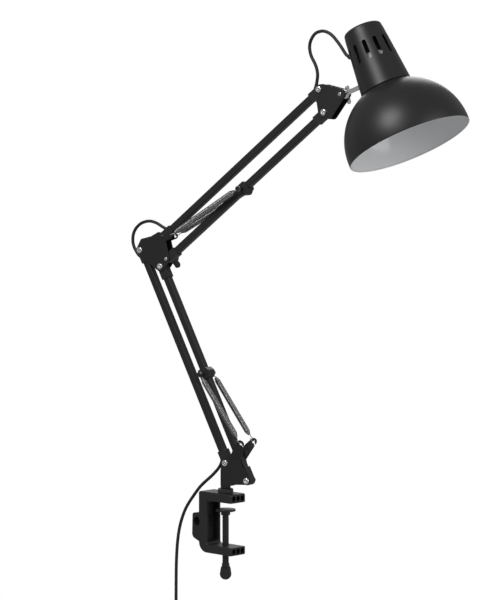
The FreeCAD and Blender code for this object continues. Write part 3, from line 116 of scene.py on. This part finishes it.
def node(tree, kind, **settings):
    """A shader node, with its properties and its inputs set by name."""
    made = tree.nodes.new(kind)
    for key, value in settings.items():
        if key in made.inputs.keys():
            made.inputs[key].default_value = value
        else:
            setattr(made, key.lower(), value)
    return made


def make_grain_group():
    """Shared detail: a fine bump, and a slow drift of roughness such as handling leaves."""
    group = bpy.data.node_groups.new("grain", "ShaderNodeTree")
    face = group.interface
    for label, kind, value in (("Scale", "NodeSocketFloat", 900.0), ("Height", "NodeSocketFloat", 0.1),
                               ("Roughness", "NodeSocketFloat", 0.4), ("Spread", "NodeSocketFloat", 0.1)):
        socket = face.new_socket(label, in_out="INPUT", socket_type=kind)
        socket.default_value = value
    face.new_socket("Normal", in_out="OUTPUT", socket_type="NodeSocketVector")
    face.new_socket("Roughness", in_out="OUTPUT", socket_type="NodeSocketFloat")
    inward, outward = group.nodes.new("NodeGroupInput"), group.nodes.new("NodeGroupOutput")
    where = group.nodes.new("ShaderNodeTexCoord")
    fine = node(group, "ShaderNodeTexNoise", Detail=3.0, Roughness=0.6)
    group.links.new(where.outputs["Object"], fine.inputs["Vector"])
    group.links.new(inward.outputs["Scale"], fine.inputs["Scale"])
    bump = node(group, "ShaderNodeBump", Distance=0.0002)
    soft_edge = node(group, "ShaderNodeBevel", Radius=0.00045)
    group.links.new(soft_edge.outputs[0], bump.inputs["Normal"])
    group.links.new(inward.outputs["Height"], bump.inputs["Strength"])
    group.links.new(fine.outputs["Fac"], bump.inputs["Height"])
    group.links.new(bump.outputs["Normal"], outward.inputs["Normal"])
    slow = node(group, "ShaderNodeTexNoise", Scale=28.0, Detail=4.0, Roughness=0.65)
    group.links.new(where.outputs["Object"], slow.inputs["Vector"])
    centred = node(group, "ShaderNodeMath", operation="SUBTRACT")
    group.links.new(slow.outputs["Fac"], centred.inputs[0])
    centred.inputs[1].default_value = 0.5
    share = node(group, "ShaderNodeMath", operation="MULTIPLY")
    group.links.new(centred.outputs[0], share.inputs[0])
    group.links.new(inward.outputs["Spread"], share.inputs[1])
    total = node(group, "ShaderNodeMath", operation="ADD")
    group.links.new(share.outputs[0], total.inputs[0])
    group.links.new(inward.outputs["Roughness"], total.inputs[1])
    group.links.new(total.outputs[0], outward.inputs["Roughness"])
    return group


GRAIN = make_grain_group()


def add_grain(tree, shader, scale, height, roughness, spread):
    made = tree.nodes.new("ShaderNodeGroup")
    made.node_tree = GRAIN
    for label, value in (("Scale", scale), ("Height", height), ("Roughness", roughness), ("Spread", spread)):
        made.inputs[label].default_value = value
    tree.links.new(made.outputs["Normal"], shader.inputs["Normal"])
    tree.links.new(made.outputs["Roughness"], shader.inputs["Roughness"])
    return made


def worn_edge(tree, base, edge, width, amount):
    """Mixes a lighter colour in along edges, where handling rubs the surface."""
    bevel = node(tree, "ShaderNodeBevel", Radius=width)
    plain = tree.nodes.new("ShaderNodeNewGeometry")
    dot = node(tree, "ShaderNodeVectorMath", operation="DOT_PRODUCT")
    tree.links.new(bevel.outputs[0], dot.inputs[0])
    tree.links.new(plain.outputs["Normal"], dot.inputs[1])
    ramp = node(tree, "ShaderNodeMapRange")
    ramp.inputs["From Min"].default_value = 0.995
    ramp.inputs["From Max"].default_value = 0.86
    ramp.inputs["To Max"].default_value = amount
    tree.links.new(dot.outputs["Value"], ramp.inputs["Value"])
    mix = node(tree, "ShaderNodeMix", data_type="RGBA")
    mix.inputs[6].default_value = (*base, 1.0)
    mix.inputs[7].default_value = (*edge, 1.0)
    tree.links.new(ramp.outputs[0], mix.inputs[0])
    return mix.outputs[2]


def painted(name, colour, roughness, height, wear):
    material, tree, shader = start_material(name)
    add_grain(tree, shader, 1400.0, height, roughness, 0.12)
    edge = tuple(min(1.0, c * 3.0 + 0.02) for c in colour)
    tree.links.new(worn_edge(tree, colour, edge, 0.0006, wear), shader.inputs["Base Color"])
    return material


def metal(name, colour, roughness, spread):
    """Bright metal with faint turning or drawing marks."""
    material, tree, shader = start_material(name)
    shader.inputs["Base Color"].default_value = (*colour, 1.0)
    shader.inputs["Metallic"].default_value = 1.0
    add_grain(tree, shader, 2600.0, 0.05, roughness, spread)
    return material


def two_sided_paint(name):
    """The shade: satin black outside, gloss white inside, told apart by distance from the dome's centre."""
    material, tree, shader = start_material(name)
    axis_low = point(*along(SHADE_FOOT, TILT, 0.0, -74.3))
    where = tree.nodes.new("ShaderNodeTexCoord")
    away = node(tree, "ShaderNodeVectorMath", operation="DISTANCE")
    tree.links.new(where.outputs["Object"], away.inputs[0])
    away.inputs[1].default_value = axis_low
    side = node(tree, "ShaderNodeMath", operation="GREATER_THAN")
    tree.links.new(away.outputs["Value"], side.inputs[0])
    side.inputs[1].default_value = 0.0803
    colour = node(tree, "ShaderNodeMix", data_type="RGBA")
    tree.links.new(side.outputs[0], colour.inputs[0])
    colour.inputs[6].default_value = (0.86, 0.87, 0.88, 1.0)
    colour.inputs[7].default_value = (0.0105, 0.0105, 0.0112, 1.0)
    tree.links.new(colour.outputs[2], shader.inputs["Base Color"])
    grain = add_grain(tree, shader, 1500.0, 0.10, 0.40, 0.06)
    rough = node(tree, "ShaderNodeMix", data_type="FLOAT")
    tree.links.new(side.outputs[0], rough.inputs[0])
    rough.inputs[2].default_value = 0.16
    tree.links.new(grain.outputs["Roughness"], rough.inputs[3])
    tree.links.new(rough.outputs[0], shader.inputs["Roughness"])
    return material


BLACK = painted("black_powder_coat", (0.0100, 0.0100, 0.0108), 0.40, 0.30, 0.35)
PLATE = painted("black_bracket_paint", (0.0085, 0.0085, 0.0092), 0.44, 0.25, 0.45)
PLASTIC = painted("black_moulded_plastic", (0.0125, 0.0125, 0.0132), 0.46, 0.45, 0.25)
SHADE = two_sided_paint("shade_enamel")
NECK = painted("neck_satin_black", (0.0105, 0.0105, 0.0112), 0.40, 0.10, 0.15)
CHROME = metal("bright_chrome", (0.82, 0.82, 0.83), 0.12, 0.10)
DARK = painted("blackened_steel", (0.0120, 0.0120, 0.0128), 0.34, 0.20, 0.40)
SPRING = metal("spring_steel", (0.36, 0.36, 0.37), 0.30, 0.15)
BRASS = metal("contact_brass", (0.75, 0.62, 0.38), 0.30, 0.15)
WHITE = painted("white_moulded_plastic", (0.80, 0.80, 0.78), 0.30, 0.10, 0.0)
CORD = painted("cord_sheath", (0.0110, 0.0110, 0.0115), 0.50, 0.35, 0.0)

FINISHES = {"black_paint": PLATE, "shade_paint": NECK, "black_plastic": PLASTIC, "bright_metal": CHROME,
            "black_steel": DARK, "spring_steel": SPRING, "white_plastic": WHITE, "contact_metal": BRASS,
            "cord_black": CORD}


def paint(obj, material):
    obj.data.materials.clear()
    obj.data.materials.append(material)
    return obj


for entry in frame["record"]["subparts"]:
    paint(nodes[entry["node"]], FINISHES[entry["material_slot"]])
for name in ("lower_rear_tube", "lower_front_tube", "upper_top_tube", "upper_bottom_tube"):
    paint(nodes[name], BLACK)
for name in ("lower_spring_pin", "upper_spring_pin"):
    paint(nodes[name], DARK)


# ---------------------------------------------------------------- mesh tools

def link(name, mesh):
    obj = bpy.data.objects.new(name, mesh)
    bpy.context.scene.collection.objects.link(obj)
    return obj


def from_bmesh(name, work, spot=Matrix.Identity(4), smooth=30.0):
    bmesh.ops.recalc_face_normals(work, faces=work.faces)
    mesh = bpy.data.meshes.new(name)
    work.to_mesh(mesh)
    work.free()
    mesh.transform(spot)
    mesh.polygons.foreach_set("use_smooth", [True] * len(mesh.polygons))
    mesh.set_sharp_from_angle(angle=math.radians(smooth))
    return link(name, mesh)


def arc(cx, cz, radius, start, end, steps):
    """Points of an arc, in degrees from the first axis towards the second."""
    turns = [math.radians(start + (end - start) * k / steps) for k in range(steps + 1)]
    return [(cx + radius * math.cos(t), cz + radius * math.sin(t)) for t in turns]


def lathe(profile, segments=96, closed=True):
    """A turned shape about Z, from points (radius, height) in millimetres."""
    work = bmesh.new()
    rings = []
    for radius, height in profile:
        if radius < 1e-6:
            rings.append([work.verts.new((0, 0, height * MM))])
            continue
        rings.append([work.verts.new((radius * MM * math.cos(2 * math.pi * k / segments),
                                      radius * MM * math.sin(2 * math.pi * k / segments),
                                      height * MM)) for k in range(segments)])
    pairs = list(zip(rings, rings[1:]))
    if closed:
        pairs.append((rings[-1], rings[0]))
    for low, high in pairs:
        if len(low) == 1 and len(high) == 1:
            continue
        for k in range(segments):
            n = (k + 1) % segments
            if len(low) == 1:
                work.faces.new((low[0], high[n], high[k]))
            elif len(high) == 1:
                work.faces.new((low[k], low[n], high[0]))
            else:
                work.faces.new((low[k], low[n], high[n], high[k]))
    return work


def prism(near, far):
    """A closed solid between two like outlines, given as points in metres."""
    work = bmesh.new()
    near = [work.verts.new(spot) for spot in near]
    far = [work.verts.new(spot) for spot in far]
    work.faces.new(near)
    work.faces.new(list(reversed(far)))
    for n in range(len(near)):
        m = (n + 1) % len(near)
        work.faces.new((near[n], near[m], far[m], far[n]))
    return work


def cut(obj, cutters):
    """Takes the cutters' space out of the piece for good."""
    for cutter in cutters:
        change = obj.modifiers.new("cut", "BOOLEAN")
        change.operation, change.solver, change.object = "DIFFERENCE", "EXACT", cutter
    graph = bpy.context.evaluated_depsgraph_get()
    mesh = bpy.data.meshes.new_from_object(obj.evaluated_get(graph))
    obj.modifiers.clear()
    obj.data = mesh
    for cutter in cutters:
        bpy.data.objects.remove(cutter)
    mesh.set_sharp_from_angle(angle=math.radians(30))
    return obj


# ---------------------------------------------------------------- the lead

CORD_WIDTH = 4.3


def spline(name, points, width, resolution=10):
    """A smooth cord through its route, whose points are the spline's own control points."""
    curve = bpy.data.curves.new(name, "CURVE")
    curve.dimensions = "3D"
    curve.bevel_depth = width * MM / 2
    curve.bevel_resolution = 5
    curve.resolution_u = resolution
    curve.use_fill_caps = True
    line = curve.splines.new("NURBS")
    line.points.add(len(points) - 1)
    for spot, control in zip(points, line.points):
        control.co = (*spot, 1.0)
    line.order_u = 3
    line.use_endpoint_u = True
    return link(name, curve)


def line_points(curve_object):
    """Points along the middle of a curve, close together."""
    curve = curve_object.data
    depth, curve.bevel_depth = curve.bevel_depth, 0.0
    bpy.context.view_layer.update()
    graph = bpy.context.evaluated_depsgraph_get()
    mesh = bpy.data.meshes.new_from_object(curve_object.evaluated_get(graph))
    points = [vertex.co.copy() for vertex in mesh.vertices]
    bpy.data.meshes.remove(mesh)
    curve.bevel_depth = depth
    bpy.context.view_layer.update()
    return points


def path_length(points):
    return sum((b - a).length for a, b in zip(points, points[1:]))


def tube_mesh(curve_object):
    """The cord as a mesh, and its middle line."""
    path = line_points(curve_object)
    name = curve_object.name
    graph = bpy.context.evaluated_depsgraph_get()
    mesh = bpy.data.meshes.new_from_object(curve_object.evaluated_get(graph))
    bpy.data.objects.remove(curve_object)
    mesh.polygons.foreach_set("use_smooth", [True] * len(mesh.polygons))
    return link(name, mesh), path


def jumper(name, points, cad_node):
    """A stretch of lead between two bodies that a joint joins, built as a mesh tube."""
    tube, path = tube_mesh(spline(name, points, CORD_WIDTH))
    paint(tube, CORD)
    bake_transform(tube)
    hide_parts(cad_node)


def in_plane(*pairs, across=0.0):
    return [point(x, z, across) for x, z in pairs]


def beside(pivot, angle, *pairs):
    return [point(*along(pivot, angle, ahead, aside)) for ahead, aside in pairs]


GLAND_ROOT = along(SHADE_FOOT, TILT, -neck_radius(GLAND_UP), GLAND_UP)
GLAND, GLAND_MOUTH = along(GLAND_ROOT, GLAND_ANGLE, 4.5), along(GLAND_ROOT, GLAND_ANGLE, 9.5)

jumper("head_loop_front_lead", list(reversed(
    [point(*GLAND), point(*GLAND_MOUTH)] + in_plane((181.4, 595.2), (174.0, 604.8), (165.0, 614.6),
                                                    (155.6, 619.4), (151.6, 619.7)))),
    "head_loop_front")
jumper("head_loop_rear_lead", in_plane(
    (151.6, 619.7), (147.6, 620.0), (138.2, 616.9), (130.6, 604.2), (132.6, 589.6), (140.6, 577.4))
    + beside(HEAD_HIGH, UPPER, (8.0, 19.4), (-1.2, 10.6), (-7.8, 6.4), (-13.2, 2.2), (-18.6, 0.0),
             (-24.0, 0.0)), "head_loop_rear")
jumper("elbow_loop_upper_lead", list(reversed(beside(
    ELBOW_HIGH, UPPER, (24.0, 0.0), (18.6, 0.0), (13.4, 2.2), (9.0, 6.4), (5.6, 12.2), (1.4, 22.4))
    + in_plane((-124.9, 374.6), (-138.0, 371.8), (-145.2, 367.0), (-147.6, 364.4)))),
    "elbow_loop_upper")
jumper("elbow_loop_lower_lead", in_plane(
    (-147.6, 364.4), (-150.0, 361.8), (-153.2, 355.0), (-153.9, 345.6), (-151.5, 337.6))
    + beside(ELBOW_REAR, LOWER, (2.0, 10.8), (-3.8, 9.6), (-8.6, 6.0), (-13.4, 2.2), (-18.6, 0.0),
             (-24.0, 0.0)), "elbow_loop_lower")

TAIL_X, SWITCH_TOP, SWITCH_LENGTH, COIL_TOP = -81.8, -148.0, 58.0, -248.0
jumper("supply_lead_tail", list(reversed(
    beside(BASE_REAR, LOWER, (24.0, 0.0), (18.6, 0.0), (13.4, 2.2), (8.6, 6.0), (3.8, 10.0), (-0.2, 15.6))
    + in_plane((-16.2, 38.6), (-24.0, 31.4), (-31.4, 25.6)))), "cord_tail")


def coil_points():
    """The put-away coil: four loops inwards, a step to the second layer, and four out."""
    points = []
    per_turn, loops, pitch, widest = 14, 4, 5.0, 36.25
    grown = 1.0 / math.cos(math.pi / per_turn)
    for k in range(1, 2 * loops * per_turn):
        turns = k / per_turn
        radius = grown * (widest - pitch * min(turns, 2 * loops - turns))
        step = min(1.0, max(0.0, 2 * (turns - loops) + 1))
        angle = 2 * math.pi * turns
        points.append((TAIL_X - widest + radius * math.cos(angle), COIL_TOP - 4.3 - radius * math.sin(angle),
                       pitch * (3 * step * step - 2 * step ** 3)))
    return points


lead_route = in_plane(
    (-31.4, 25.6), (-38.8, 19.6), (-45.4, 12.4), (-52.4, 3.6), (-59.4, -5.4), (-66.0, -15.6),
    (-71.8, -28.6), (-76.4, -43.6), (-79.4, -62.4), (-81.0, -84.4), (-81.6, -108.4), (TAIL_X, SWITCH_TOP),
    (TAIL_X, SWITCH_TOP - SWITCH_LENGTH / 2), (TAIL_X, SWITCH_TOP - SWITCH_LENGTH),
    (TAIL_X + 0.4, COIL_TOP + 21.0), (TAIL_X, COIL_TOP), (TAIL_X, COIL_TOP - 4.3))
lead_route += [point(x, z, y) for x, z, y in coil_points()]
lead_route += in_plane((TAIL_X, COIL_TOP - 2.0), (TAIL_X, COIL_TOP - 8.6), across=5.0)
lead = paint(spline("supply_lead", lead_route, CORD_WIDTH, 8), CORD)
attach(lead, "base")
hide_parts("cord_lower", "cord_coil")
path_length(line_points(lead))


# ---------------------------------------------------------------- shade

def make_shade():
    """The spun dome with a rolled lip, its neck, and the vent slots."""
    centre = -math.sqrt(DOME_RADIUS ** 2 - NECK_FOOT ** 2) - 0.8
    outer, inner = DOME_RADIUS, 79.7
    edge = -79.5
    start = math.degrees(math.asin((edge + 1.0 - centre) / outer))
    top = math.degrees(math.acos(31.7 / outer))
    profile = arc(0, centre, outer, start, top, 64)
    profile += [(31.3, 4.0), (31.0, 6.4), (30.1, 6.4), (30.6, -1.2), (21.0, -0.3), (21.0, -1.1)]
    inner_top = math.degrees(math.acos(31.0 / inner))
    profile += arc(0, centre, inner, inner_top, start + 0.4, 64)
    lip = [(79.3, edge + 1.0), (79.0, edge + 0.5), (79.2, edge + 0.1), (79.7, edge), (80.2, edge + 0.1),
           (80.45, edge + 0.5)]
    dome = from_bmesh("shade_dome_spun", lathe(profile + lip, 192), place(*SHADE_FOOT, TILT), 35)
    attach(paint(dome, SHADE), "shade")
    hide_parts("shade_dome")

    foot, crown, height, wall, rounding = 33.4, 25.0, 83.8, 1.1, 4.0
    shoulder, brow = crown - rounding + 0.1, height - rounding

    def side(up):
        return foot - (foot - crown) * up / height

    profile = [(foot, 0.05), (foot - 0.05, 0.3)]
    profile += [(side(h), float(h)) for h in range(4, 77, 4)]
    profile += arc(shoulder, brow, rounding, -6.0, 90.0, 12)
    profile += [(17.0, height), (8.0, height), (0.0, height), (0.0, height - wall), (19.5, height - wall)]
    profile += arc(shoulder, brow, rounding - wall, 90.0, -6.0, 8)
    profile += [(side(h) - wall, float(h)) for h in range(76, 0, -4)]
    profile += [(foot - wall, 0.05)]
    neck = from_bmesh("neck_housing_spun", lathe(profile, 180), Matrix.Identity(4), 35)
    cutters = []
    for k in range(12):
        outline = arc(0.0, 38.7, 2.7, 180.0, 360.0, 12) + arc(0.0, 59.3, 2.7, 0.0, 180.0, 12)
        work = prism([(20 * MM, y * MM, z * MM) for y, z in outline],
                     [(40 * MM, y * MM, z * MM) for y, z in outline])
        turn = Matrix.Rotation(math.radians(18.0 + 90.0 + 30 * k), 4, "Z")
        cutters.append(from_bmesh("slot_cutter_%d" % k, work, turn))
    for height, angle, radius in ((STEM_UP, -NECK_SLOPE, 3.33), (GLAND_UP, GLAND_ANGLE - TILT, 3.05)):
        spot = Matrix.Translation((-neck_radius(height) * MM, 0, height * MM))
        turn = Matrix.Rotation(math.radians(90.0 - angle), 4, "Y")
        hole = lathe([(0.0, -9.0), (radius, -9.0), (radius, 9.0), (0.0, 9.0)], 40, False)
        cutters.append(from_bmesh("neck_hole_cutter", hole, spot @ turn))
    cut(neck, cutters)
    neck.data.transform(place(*SHADE_FOOT, TILT))
    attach(paint(neck, NECK), "shade")
    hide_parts("neck_housing")


make_shade()


# ---------------------------------------------------------------- screws

OUTSIDE = 7.1
HEAD_ON_NEAR_SIDE = Matrix.Rotation(math.radians(90), 4, "X")


def box_work(x, y, z, spot=Matrix.Identity(4)):
    """A box of these half sizes in millimetres, about its middle."""
    work = bmesh.new()
    bmesh.ops.create_cube(work, size=2.0, matrix=spot @ Matrix.Diagonal((x * MM, y * MM, z * MM, 1.0)))
    return work


def cross_screw(name, pivot, tail, turn):
    """A pan-head screw with a cross recess, its head towards the viewer."""
    top = OUTSIDE + 2.4
    profile = [(0.0, -tail), (1.6, -tail), (2.0, 0.4 - tail), (2.0, OUTSIDE), (4.25, OUTSIDE),
               (4.4, OUTSIDE + 0.15), (4.4, OUTSIDE + 0.9), (4.28, OUTSIDE + 1.4), (3.95, OUTSIDE + 1.85),
               (3.4, OUTSIDE + 2.18), (2.7, top - 0.06), (1.6, top), (0.0, top)]
    screw = from_bmesh(name, lathe(profile, 48, False), smooth=40)
    cutters = []
    for quarter in (0, 90):
        spot = Matrix.Translation((0, 0, (top - 0.1) * MM)) @ Matrix.Rotation(math.radians(quarter), 4, "Z")
        work = box_work(2.5, 0.52, 1.35, spot)
        for vertex in work.verts:
            if vertex.co.z < top * MM - 0.0002:
                vertex.co.x *= 0.45
                vertex.co.y *= 0.45 if quarter else 1.0
        cutters.append(from_bmesh(name + "_slot", work))
    cut(screw, cutters)
    screw.data.transform(place(*pivot, turn) @ HEAD_ON_NEAR_SIDE)
    return screw


def one_piece(name, parts):
    """Several like solids as one object, such as the screws of one bracket."""
    work = bmesh.new()
    for part in parts:
        work.from_mesh(part.data)
        bpy.data.objects.remove(part)
    mesh = bpy.data.meshes.new(name)
    work.to_mesh(mesh)
    work.free()
    mesh.polygons.foreach_set("use_smooth", [True] * len(mesh.polygons))
    mesh.set_sharp_from_angle(angle=math.radians(35))
    return link(name, mesh)


for bracket, body, pivots in (("base", "base", (BASE_REAR, BASE_FRONT)),
                              ("elbow", "elbow", (ELBOW_REAR, ELBOW_FRONT)),
                              ("head", "head", (HEAD_HIGH, HEAD_LOW))):
    parts = [cross_screw("%s_screw_%d" % (bracket, k), pivot, 10.9, 17.0 + 38.0 * k)
             for k, pivot in enumerate(pivots)]
    if bracket == "elbow":
        profile = [(0.0, -15.6), (2.0, -15.6), (2.0, OUTSIDE), (2.5, OUTSIDE), (2.5, OUTSIDE + 0.6),
                   (2.1, OUTSIDE + 1.1), (0.0, OUTSIDE + 1.2)]
        parts.append(from_bmesh("knob_screw", lathe(profile, 32, False),
                                place(*ELBOW_LOW) @ HEAD_ON_NEAR_SIDE))
    screws = paint(one_piece(bracket + "_cross_screws", parts), CHROME)
    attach(screws, body)
    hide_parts(bracket + "_bolts")


# ---------------------------------------------------------------- springs

def make_spring(name, body, cad_node, start, end, mirrored):
    """A close-wound tension spring of fine wire, from its eye on a pin to its eye in a hole.

    Its ends are points of the arm's plane with their distance across it. The turns draw in
    towards both ends.
    """
    ahead = (end - start).normalized()
    up = ahead.cross(Vector((0, 1, 0))).normalized()
    start, end = start + 0.6 * ahead, end - 4.2 * ahead
    length = (end - start).length
    radius, wire, lead_in = 3.3, 1.15, 6.8
    spacing, step_off = 1.4, 1.4
    turns = int((length - 2 * lead_in) / spacing)
    rise = (length - 2 * lead_in) / turns
    points = []
    for degrees in range(60, 331, 30):
        t = math.radians(degrees)
        points.append((radius * math.cos(t), 0.0, radius * math.sin(t)))
    points.append((radius + step_off, 0.0, -0.6))
    for k in range(10 * turns + 1):
        t = 2 * math.pi * k / 10
        wide = 1.03 * radius * min(1.0, 0.36 + 0.16 * min(k, 10 * turns - k) / 10)
        points.append((lead_in + rise * k / 10, wide * math.sin(t), wide * math.cos(t)))
    far = [(length - radius - step_off, 0.0, -0.6)]
    for degrees in range(330, 59, -30):
        t = math.radians(degrees)
        far.append((length - radius * math.cos(t), 0.0, radius * math.sin(t)))
    points += [(x, z if mirrored else -z, 0.0) for x, _, z in far]
    turn = Matrix((ahead, up.cross(ahead), up)).transposed().to_4x4()
    spot = SWING @ Matrix.Translation(start * MM) @ turn
    curve = spline(name, [spot @ (Vector(p) * MM) for p in points], wire, 3)
    curve.data.bevel_resolution = 2
    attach(paint(curve, SPRING), body)
    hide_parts(cad_node)


def slab(name, outline, low, high):
    """A flat piece of the arm's plane, from one distance across it to another."""
    work = prism([(x * MM, low * MM, z * MM) for x, z in outline],
                 [(x * MM, high * MM, z * MM) for x, z in outline])
    return from_bmesh(name, work, SWING)


HORN = (-86.5, 353.8)
BASE_HOOK = (34.5, 81.0)

for side, sign in (("near", -1), ("far", 1)):
    collar, hook = along(BASE_FRONT, LOWER, COLLAR_STATION), BASE_HOOK
    make_spring("lower_spring_wound_" + side, "lower_front", "lower_spring_" + side,
                Vector((collar[0], sign * COLLAR_ACROSS, collar[1])),
                Vector((hook[0], sign * COLLAR_ACROSS, hook[1])), sign < 0)
    collar, hook = along(ELBOW_LOW, UPPER, COLLAR_STATION), HORN
    make_spring("upper_spring_wound_" + side, "upper_bottom", "upper_spring_" + side,
                Vector((collar[0], sign * COLLAR_ACROSS, collar[1])),
                Vector((hook[0], sign * HORN_ACROSS, hook[1])), sign < 0)
    lug = slab("spring_horn_" + side, [(-94.3, 347.2)] + arc(*HORN, 3.9, -60.0, 95.0, 14) + [(-97.6, 356.8)],
               sign * HORN_ACROSS - 0.58, sign * HORN_ACROSS + 0.58)
    hole = from_bmesh("horn_hole", lathe([(0.0, -20.0), (2.1, -20.0), (2.1, 20.0), (0.0, 20.0)], 32, False),
                      place(*HORN) @ HEAD_ON_NEAR_SIDE)
    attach(paint(cut(lug, [hole]), PLATE), "elbow")


# ---------------------------------------------------------------- rivet, bush and knob

def make_rivet():
    """The low-headed rivet at the elbow's upper pivot."""
    head = [(2.0, OUTSIDE), (3.0, OUTSIDE), (3.0, OUTSIDE + 0.2), (2.4, OUTSIDE + 0.7), (1.4, OUTSIDE + 0.9),
            (0.0, OUTSIDE + 0.95)]
    profile = [(r, -z) for r, z in reversed(head)] + head
    rivet = from_bmesh("elbow_rivet", lathe(profile, 40, False), place(*ELBOW_HIGH) @ HEAD_ON_NEAR_SIDE)
    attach(paint(rivet, DARK), "elbow")
    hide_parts("elbow_spring_pin")


def make_bush():
    """The lobed bush that the post turns in, its flange lying on the clamp."""
    profile = [(6.1, 2.7), (7.45, 2.7), (7.45, 12.02), (10.2, 12.02), (10.4, 12.3), (10.4, 16.4),
               (10.2, 17.1), (9.6, 17.6), (8.6, 17.8), (7.4, 17.8), (7.0, 17.5), (6.1, 17.5)]
    work = lathe(profile, 144)
    for vertex in work.verts:
        reach = math.hypot(vertex.co.x, vertex.co.y)
        lobe = max(0.0, math.cos(4 * math.atan2(vertex.co.y, vertex.co.x)))
        if reach > 8.0 * MM:
            vertex.co.x *= 1.0 + 0.10 * lobe
            vertex.co.y *= 1.0 + 0.10 * lobe
    bush = from_bmesh("pivot_bush_lobed", work)
    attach(paint(bush, PLASTIC), "clamp")
    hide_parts("pivot_bush")


def make_knob():
    """The moulded knob on the far side of the elbow, with its two wings one above the other."""
    face = OUTSIDE + 0.05
    hub = [(2.1, face), (6.0, face), (6.0, face + 1.2), (5.2, face + 8.4), (4.7, face + 9.0),
           (2.1, face + 9.0)]
    spot = place(*ELBOW_LOW, -80.0) @ Matrix.Rotation(math.radians(-90), 4, "X")
    parts = [from_bmesh("knob_hub", lathe(hub, 48), spot)]
    wing = [(1.0, face + 1.4), (5.6, face + 1.8)] + arc(8.7, OUTSIDE + 10.2, 4.3, -35.0, 130.0, 14)
    wing += [(2.6, face + 9.4)]
    for turn in (0.0, 180.0):
        work = prism([(x * MM, -2.5 * MM, z * MM) for x, z in wing],
                     [(x * MM, 2.5 * MM, z * MM) for x, z in wing])
        bmesh.ops.bevel(work, geom=[e for e in work.edges if abs(e.verts[0].co.y - e.verts[1].co.y) < 1e-6],
                        offset=1.0 * MM, segments=3, affect="EDGES", profile=0.5)
        parts.append(from_bmesh("knob_wing", work, spot @ Matrix.Rotation(math.radians(turn), 4, "Z")))
    knob = paint(one_piece("elbow_knob_winged", parts), PLASTIC)
    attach(knob, "elbow_grip")
    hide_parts("elbow_knob")


make_rivet()
make_bush()
make_knob()


# ---------------------------------------------------------------- lights

scene = bpy.context.scene
world = bpy.data.worlds.new("studio")
scene.world = world
world.use_nodes = True
tree = world.node_tree
tree.nodes.clear()
ray = tree.nodes.new("ShaderNodeLightPath")
seen = node(tree, "ShaderNodeBackground", Color=(1.0, 1.0, 1.0, 1.0), Strength=1.0)
soft = node(tree, "ShaderNodeBackground", Color=(1.0, 1.0, 1.0, 1.0), Strength=0.30)
mix = tree.nodes.new("ShaderNodeMixShader")
out = tree.nodes.new("ShaderNodeOutputWorld")
tree.links.new(ray.outputs["Is Camera Ray"], mix.inputs[0])
tree.links.new(soft.outputs[0], mix.inputs[1])
tree.links.new(seen.outputs[0], mix.inputs[2])
tree.links.new(mix.outputs[0], out.inputs["Surface"])


def area_light(name, spot, target, size, power):
    lamp = bpy.data.lights.new(name, "AREA")
    lamp.shape, lamp.size, lamp.energy = "SQUARE", size, power
    obj = link(name, lamp)
    obj.location = spot
    obj.rotation_euler = (Vector(target) - Vector(spot)).to_track_quat("-Z", "Y").to_euler()


area_light("key", (0.3, -2.0, 2.0), (0.0, 0.0, 0.35), 1.2, 38.0)
area_light("fill", (2.4, 0.2, 1.0), (0.1, 0.0, 0.35), 1.5, 18.0)
area_light("back", (-1.2, 1.6, 1.6), (0.0, 0.0, 0.4), 1.2, 14.0)

scene.view_settings.view_transform = "Standard"
scene.render.film_transparent = False

bpy.context.view_layer.update()
